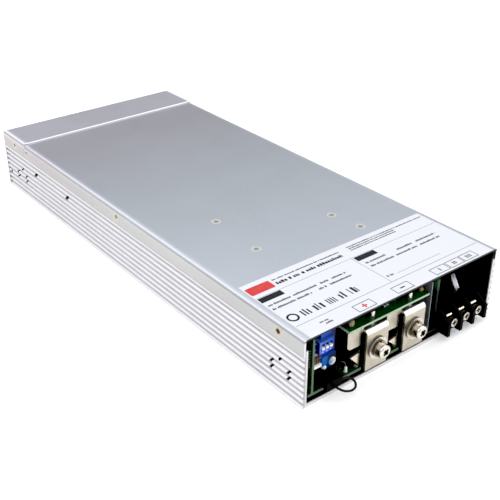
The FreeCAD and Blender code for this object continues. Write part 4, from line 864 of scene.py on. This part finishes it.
BOARD_TOP = 5.6
UPPER_TOP = 30.8
joints = Piece("control_board_joints")
for k in range(7):
    joints.turned((-63.58, 3.0 + 0.15 * (k % 2), 20.6 + 1.55 * k), (-1, 0, 0), [(-0.02, 0.50), (0.12, 0.46), (0.26, 0.32), (0.38, 0.20), (0.52, 0.16), (0.58, 0.0)], DULL_TIN, 14)
for y, z in ((5.5, 26.2), (7.7, 26.2), (5.5, 29.8), (7.7, 29.8), (4.8, 16.6), (6.4, 16.6), (8.0, 16.6), (8.7, 13.7), (8.7, 14.9), (12.0, 10.0), (12.0, 12.5)):
    joints.turned((-63.58, y, z), (-1, 0, 0), [(-0.02, 0.52), (0.14, 0.46), (0.28, 0.28), (0.46, 0.18), (0.52, 0.0)], DULL_TIN, 14)
for k in range(9):
    y = 14.0 + 5.4 * k
    joints.block((-64.4, y, 14.0 + 3.0 * (k % 3)), (-63.58, y + 2.0, 15.3 + 3.0 * (k % 3)), BLACK, 0.08)
    joints.block((-64.35, y - 0.4, 14.1 + 3.0 * (k % 3)), (-63.58, y, 15.2 + 3.0 * (k % 3)), TIN, 0.06)
    joints.block((-64.35, y + 2.0, 14.1 + 3.0 * (k % 3)), (-63.58, y + 2.4, 15.2 + 3.0 * (k % 3)), TIN, 0.06)
joints.done()

upper_parts = Piece("output_board_parts")
chip(upper_parts, -9.75, 7.0, UPPER_TOP - 0.01, 1.7, 0.95, 0.6, WHITE)
chip(upper_parts, -7.7, 7.2, UPPER_TOP - 0.01, 1.7, 0.95, 0.6, WHITE)
chip(upper_parts, -1.2, 8.6, UPPER_TOP - 0.01, 2.0, 1.25, 0.7, TAN)
chip(upper_parts, -27.0, 9.4, UPPER_TOP - 0.01, 2.0, 1.25, 0.7, TAN, math.pi / 2)
upper_parts.dab((-35.5, 4.1, UPPER_TOP + 2.2), (1.75, 1.15, 2.05), OLIVE, 5, 0.05)
upper_parts.tube([(-36.1, 4.1, UPPER_TOP - 0.05), (-36.1, 4.1, UPPER_TOP + 0.6), (-36.0, 4.1, UPPER_TOP + 1.2)], 0.22, DULL_TIN, 8)
upper_parts.tube([(-34.9, 4.1, UPPER_TOP - 0.05), (-34.9, 4.1, UPPER_TOP + 0.6), (-35.0, 4.1, UPPER_TOP + 1.2)], 0.22, DULL_TIN, 8)
upper_parts.dab((15.6, 5.2, UPPER_TOP + 1.4), (1.5, 0.95, 1.35), OCHRE, 8, 0.05)
upper_parts.tube([(15.0, 5.2, UPPER_TOP - 0.05), (15.0, 5.2, UPPER_TOP + 0.8)], 0.22, TIN, 8)
upper_parts.tube([(16.2, 5.2, UPPER_TOP - 0.05), (16.2, 5.2, UPPER_TOP + 0.8)], 0.22, TIN, 8)
for x, y in ((-20.0, 14.0), (-4.0, 18.0), (9.0, 14.5)):
    upper_parts.block((x - 2.6, y - 1.9, UPPER_TOP + 0.12), (x + 2.6, y + 1.9, UPPER_TOP + 1.5), BLACK, 0.14)
    for k in range(4):
        for side in (-1, 1):
            upper_parts.block((x - 2.1 + 1.27 * k, y + side * 2.45 - 0.62, UPPER_TOP - 0.01), (x - 1.7 + 1.27 * k, y + side * 2.45 + 0.62, UPPER_TOP + 0.22), TIN)
upper_parts.done()

loop = Piece("main_board_parts")
loop.turned((-38.3, 3.6, BOARD_TOP - 0.01), (0, 0, 1), [(0.0, 1.0), (0.3, 1.0), (0.42, 0.78), (2.2, 0.76), (2.75, 0.62), (3.0, 0.34), (3.05, 0.0)], WHITE, 24)
arch = [(-41.2, 7.2, BOARD_TOP - 0.05), (-41.2, 7.1, 8.4), (-41.1, 6.8, 9.8), (-40.8, 6.2, 10.8), (-40.3, 5.5, 11.4), (-39.7, 4.8, 11.6),
        (-39.1, 4.2, 11.3), (-38.7, 3.9, 10.6), (-38.4, 3.7, 9.6), (-38.35, 3.65, 8.4)]
loop.tube(arch, 0.24, DULL_TIN, 10)
loop.turned((-41.9, 10.2, BOARD_TOP - 0.01), (0, 0, 1), [(0.0, 1.75), (0.35, 1.9), (0.6, 1.7), (0.8, 1.9), (3.9, 1.9), (4.15, 1.75), (4.15, 1.5), (4.05, 1.45), (4.05, 0.0)], BLACK, 28)
loop.dab((-44.6, 4.6, BOARD_TOP + 0.8), (0.9, 0.8, 0.9), SILICONE, 3, 0.12)
for x, y, turn in ((-43.6, 12.0, 0.0), (-31.5, 3.4, 1.57), (-30.6, 8.8, 0.0), (-3.6, 3.6, 1.57), (-2.4, 9.0, 0.0), (15.6, 4.0, 1.57), (22.0, 5.5, 1.57)):
    chip(loop, x, y, BOARD_TOP - 0.01, 2.0, 1.25, 0.7, TAN if turn else BLACK, turn)
loop.done()

insert = Piece("signal_header_contacts")
insert.block((-61.7, 2.5, 20.42), (-57.15, 5.38, 23.88), BROWN, 0.10)
for k in range(3):
    insert.block((-61.0 + 1.45 * k, 1.9, 22.0), (-60.6 + 1.45 * k, 4.6, 22.4), DULL_TIN, 0.08)
    insert.block((-61.2 + 1.45 * k, 2.35, 21.4), (-60.4 + 1.45 * k, 2.8, 23.2), BLACK, 0.10)
insert.done()

marks = Piece("switch_marks")
for k in (-1, 0, 1):
    x = -52.7 + 2.54 * k
    marks.block((x - 0.55, 2.96, 25.0), (x + 0.55, 3.06, 25.75), PALE_BLUE, 0.03)
marks.done()

# ------------------------------------------------------------------ jumper wire
ROUTE = [(-52.6, -0.4, 7.7), (-52.6, -5.9, 7.7), (-50.2, -8.7, 6.5), (-46.0, -9.5, 5.6), (-42.2, -8.1, 5.4),
         (-40.2, -5.2, 5.9), (-41.0, -2.5, 6.8), (-43.6, -1.6, 7.7), (-49.0, -1.6, 7.7)]
line = bpy.data.curves.new("jumper_lead", "CURVE")
line.dimensions = "3D"
spline = line.splines.new("NURBS")
spline.points.add(len(ROUTE) - 1)
for point, place in zip(spline.points, ROUTE):
    point.co = (*at(*place), 1.0)
spline.order_u = 3
spline.use_endpoint_u = True
spline.resolution_u = 16
line.bevel_depth = 0.6 * MM
line.bevel_resolution = 6
line.use_fill_caps = True
lead = bpy.data.objects.new("jumper_lead", line)
scene.collection.objects.link(lead)
line.materials.append(moulded("wire_insulation", (0.003, 0.003, 0.0035), (0.006, 0.006, 0.0065), (0.38, 0.5), 3000.0, 0.12, shine=0.15))
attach(lead, "case")
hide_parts("jumper_wire")

# ------------------------------------------------------------------ stage, light and camera
floor_mesh = bpy.data.meshes.new("stage_floor")
reach = 4.0
floor_mesh.from_pydata([(-reach, -reach, 0), (reach, -reach, 0), (reach, reach, 0), (-reach, reach, 0)], [], [(0, 1, 2, 3)])
floor = bpy.data.objects.new("stage_floor", floor_mesh)
floor.location.z = -0.00005
scene.collection.objects.link(floor)
floor_mat = Shader("stage_paper", Roughness=0.9, Specular_IOR_Level=0.1)
floor_mat.colour(floor_mat.ramp(floor_mat.noise(floor_mat.coords(), 6.0, 3.0), [(0.3, (0.955, 0.94, 0.92)), (0.7, (0.965, 0.95, 0.93))]))
floor_mat.bsdf.inputs["Emission Color"].default_value = (1.0, 0.99, 0.98, 1.0)
floor_mat.bsdf.inputs["Emission Strength"].default_value = 0.135
floor_mesh.materials.append(floor_mat.mat)

world = bpy.data.worlds.new("studio")
scene.world = world
world.use_nodes = True
sky = world.node_tree


def sky_node(kind, **props):
    n = sky.nodes.new(kind)
    for key, value in props.items():
        setattr(n, key, value)
    return n


way = sky_node("ShaderNodeTexCoord").outputs["Generated"]
split = sky_node("ShaderNodeSeparateXYZ")
sky.links.new(way, split.inputs[0])
rise = sky_node("ShaderNodeValToRGB")
stops = ((0.0, (0.46, 0.47, 0.50)), (0.32, (0.345, 0.345, 0.375)), (0.60, (0.83, 0.91, 1.02)), (0.80, (1.12, 1.15, 1.19)), (1.0, (1.32, 1.33, 1.35)))
while len(rise.color_ramp.elements) < len(stops):
    rise.color_ramp.elements.new(0.5)
for element, (place, tint) in zip(rise.color_ramp.elements, stops):
    element.position = place
    element.color = (*tint, 1.0)
sky.links.new(split.outputs[2], rise.inputs["Fac"])
total = rise.outputs["Color"]


def glow(towards, inner, outer, tint):
    """A broad soft patch of light in the studio, fading from its middle."""
    global total
    dot = sky_node("ShaderNodeVectorMath", operation="DOT_PRODUCT")
    sky.links.new(way, dot.inputs[0])
    dot.inputs[1].default_value = Vector(towards).normalized()
    fall = sky_node("ShaderNodeMapRange", interpolation_type="SMOOTHSTEP")
    sky.links.new(dot.outputs["Value"], fall.inputs["Value"])
    fall.inputs["From Min"].default_value = math.cos(math.radians(outer))
    fall.inputs["From Max"].default_value = math.cos(math.radians(inner))
    add = sky_node("ShaderNodeMix", data_type="RGBA", blend_type="ADD", clamp_result=False)
    sky.links.new(fall.outputs["Result"], add.inputs[0])
    sky.links.new(total, add.inputs[6])
    add.inputs[7].default_value = (*tint, 1.0)
    total = add.outputs[2]


glow((-0.55, 0.62, 0.55), 8, 34, (1.0, 1.0, 1.06))
glow((0.54, -0.50, 0.68), 8, 36, (1.3, 1.3, 1.32))
glow((0.54, -0.78, 0.30), 10, 40, (0.7, 0.7, 0.71))
glow((-0.22, 0.80, 0.55), 6, 28, (0.38, 0.38, 0.40))
glow((-0.80, -0.45, 0.45), 10, 50, (0.35, 0.35, 0.35))
sky.links.new(total, sky.nodes["Background"].inputs["Color"])
sky.nodes["Background"].inputs["Strength"].default_value = 1.0


def softbox(name, place, target, size, power):
    data = bpy.data.lights.new(name, "AREA")
    data.shape = "RECTANGLE"
    data.size, data.size_y = size
    data.energy = power
    obj = bpy.data.objects.new(name, data)
    obj.location = place
    obj.rotation_euler = (Vector(target) - Vector(place)).to_track_quat("-Z", "Y").to_euler()
    scene.collection.objects.link(obj)
    return obj


softbox("key_left", (-1.5, -0.3, 1.3), (0, 0, 0.02), (1.4, 1.2), 5.0)

camera_data = bpy.data.cameras.new("photo_camera")
camera_data.sensor_width = 36.0
camera_data.lens = 62.174
camera_data.clip_start = 0.01
camera = bpy.data.objects.new("photo_camera", camera_data)
camera.location = (-0.28901, -0.39644, 0.27185)
camera.rotation_euler = (math.radians(60.291), 0.0, math.radians(-38.265))
scene.collection.objects.link(camera)
scene.camera = camera
scene.view_settings.view_transform = "Standard"
scene.view_settings.use_curve_mapping = True
scene.view_settings.curve_mapping.black_level = (0.007, 0.007, 0.007)
scene.view_settings.curve_mapping.update()
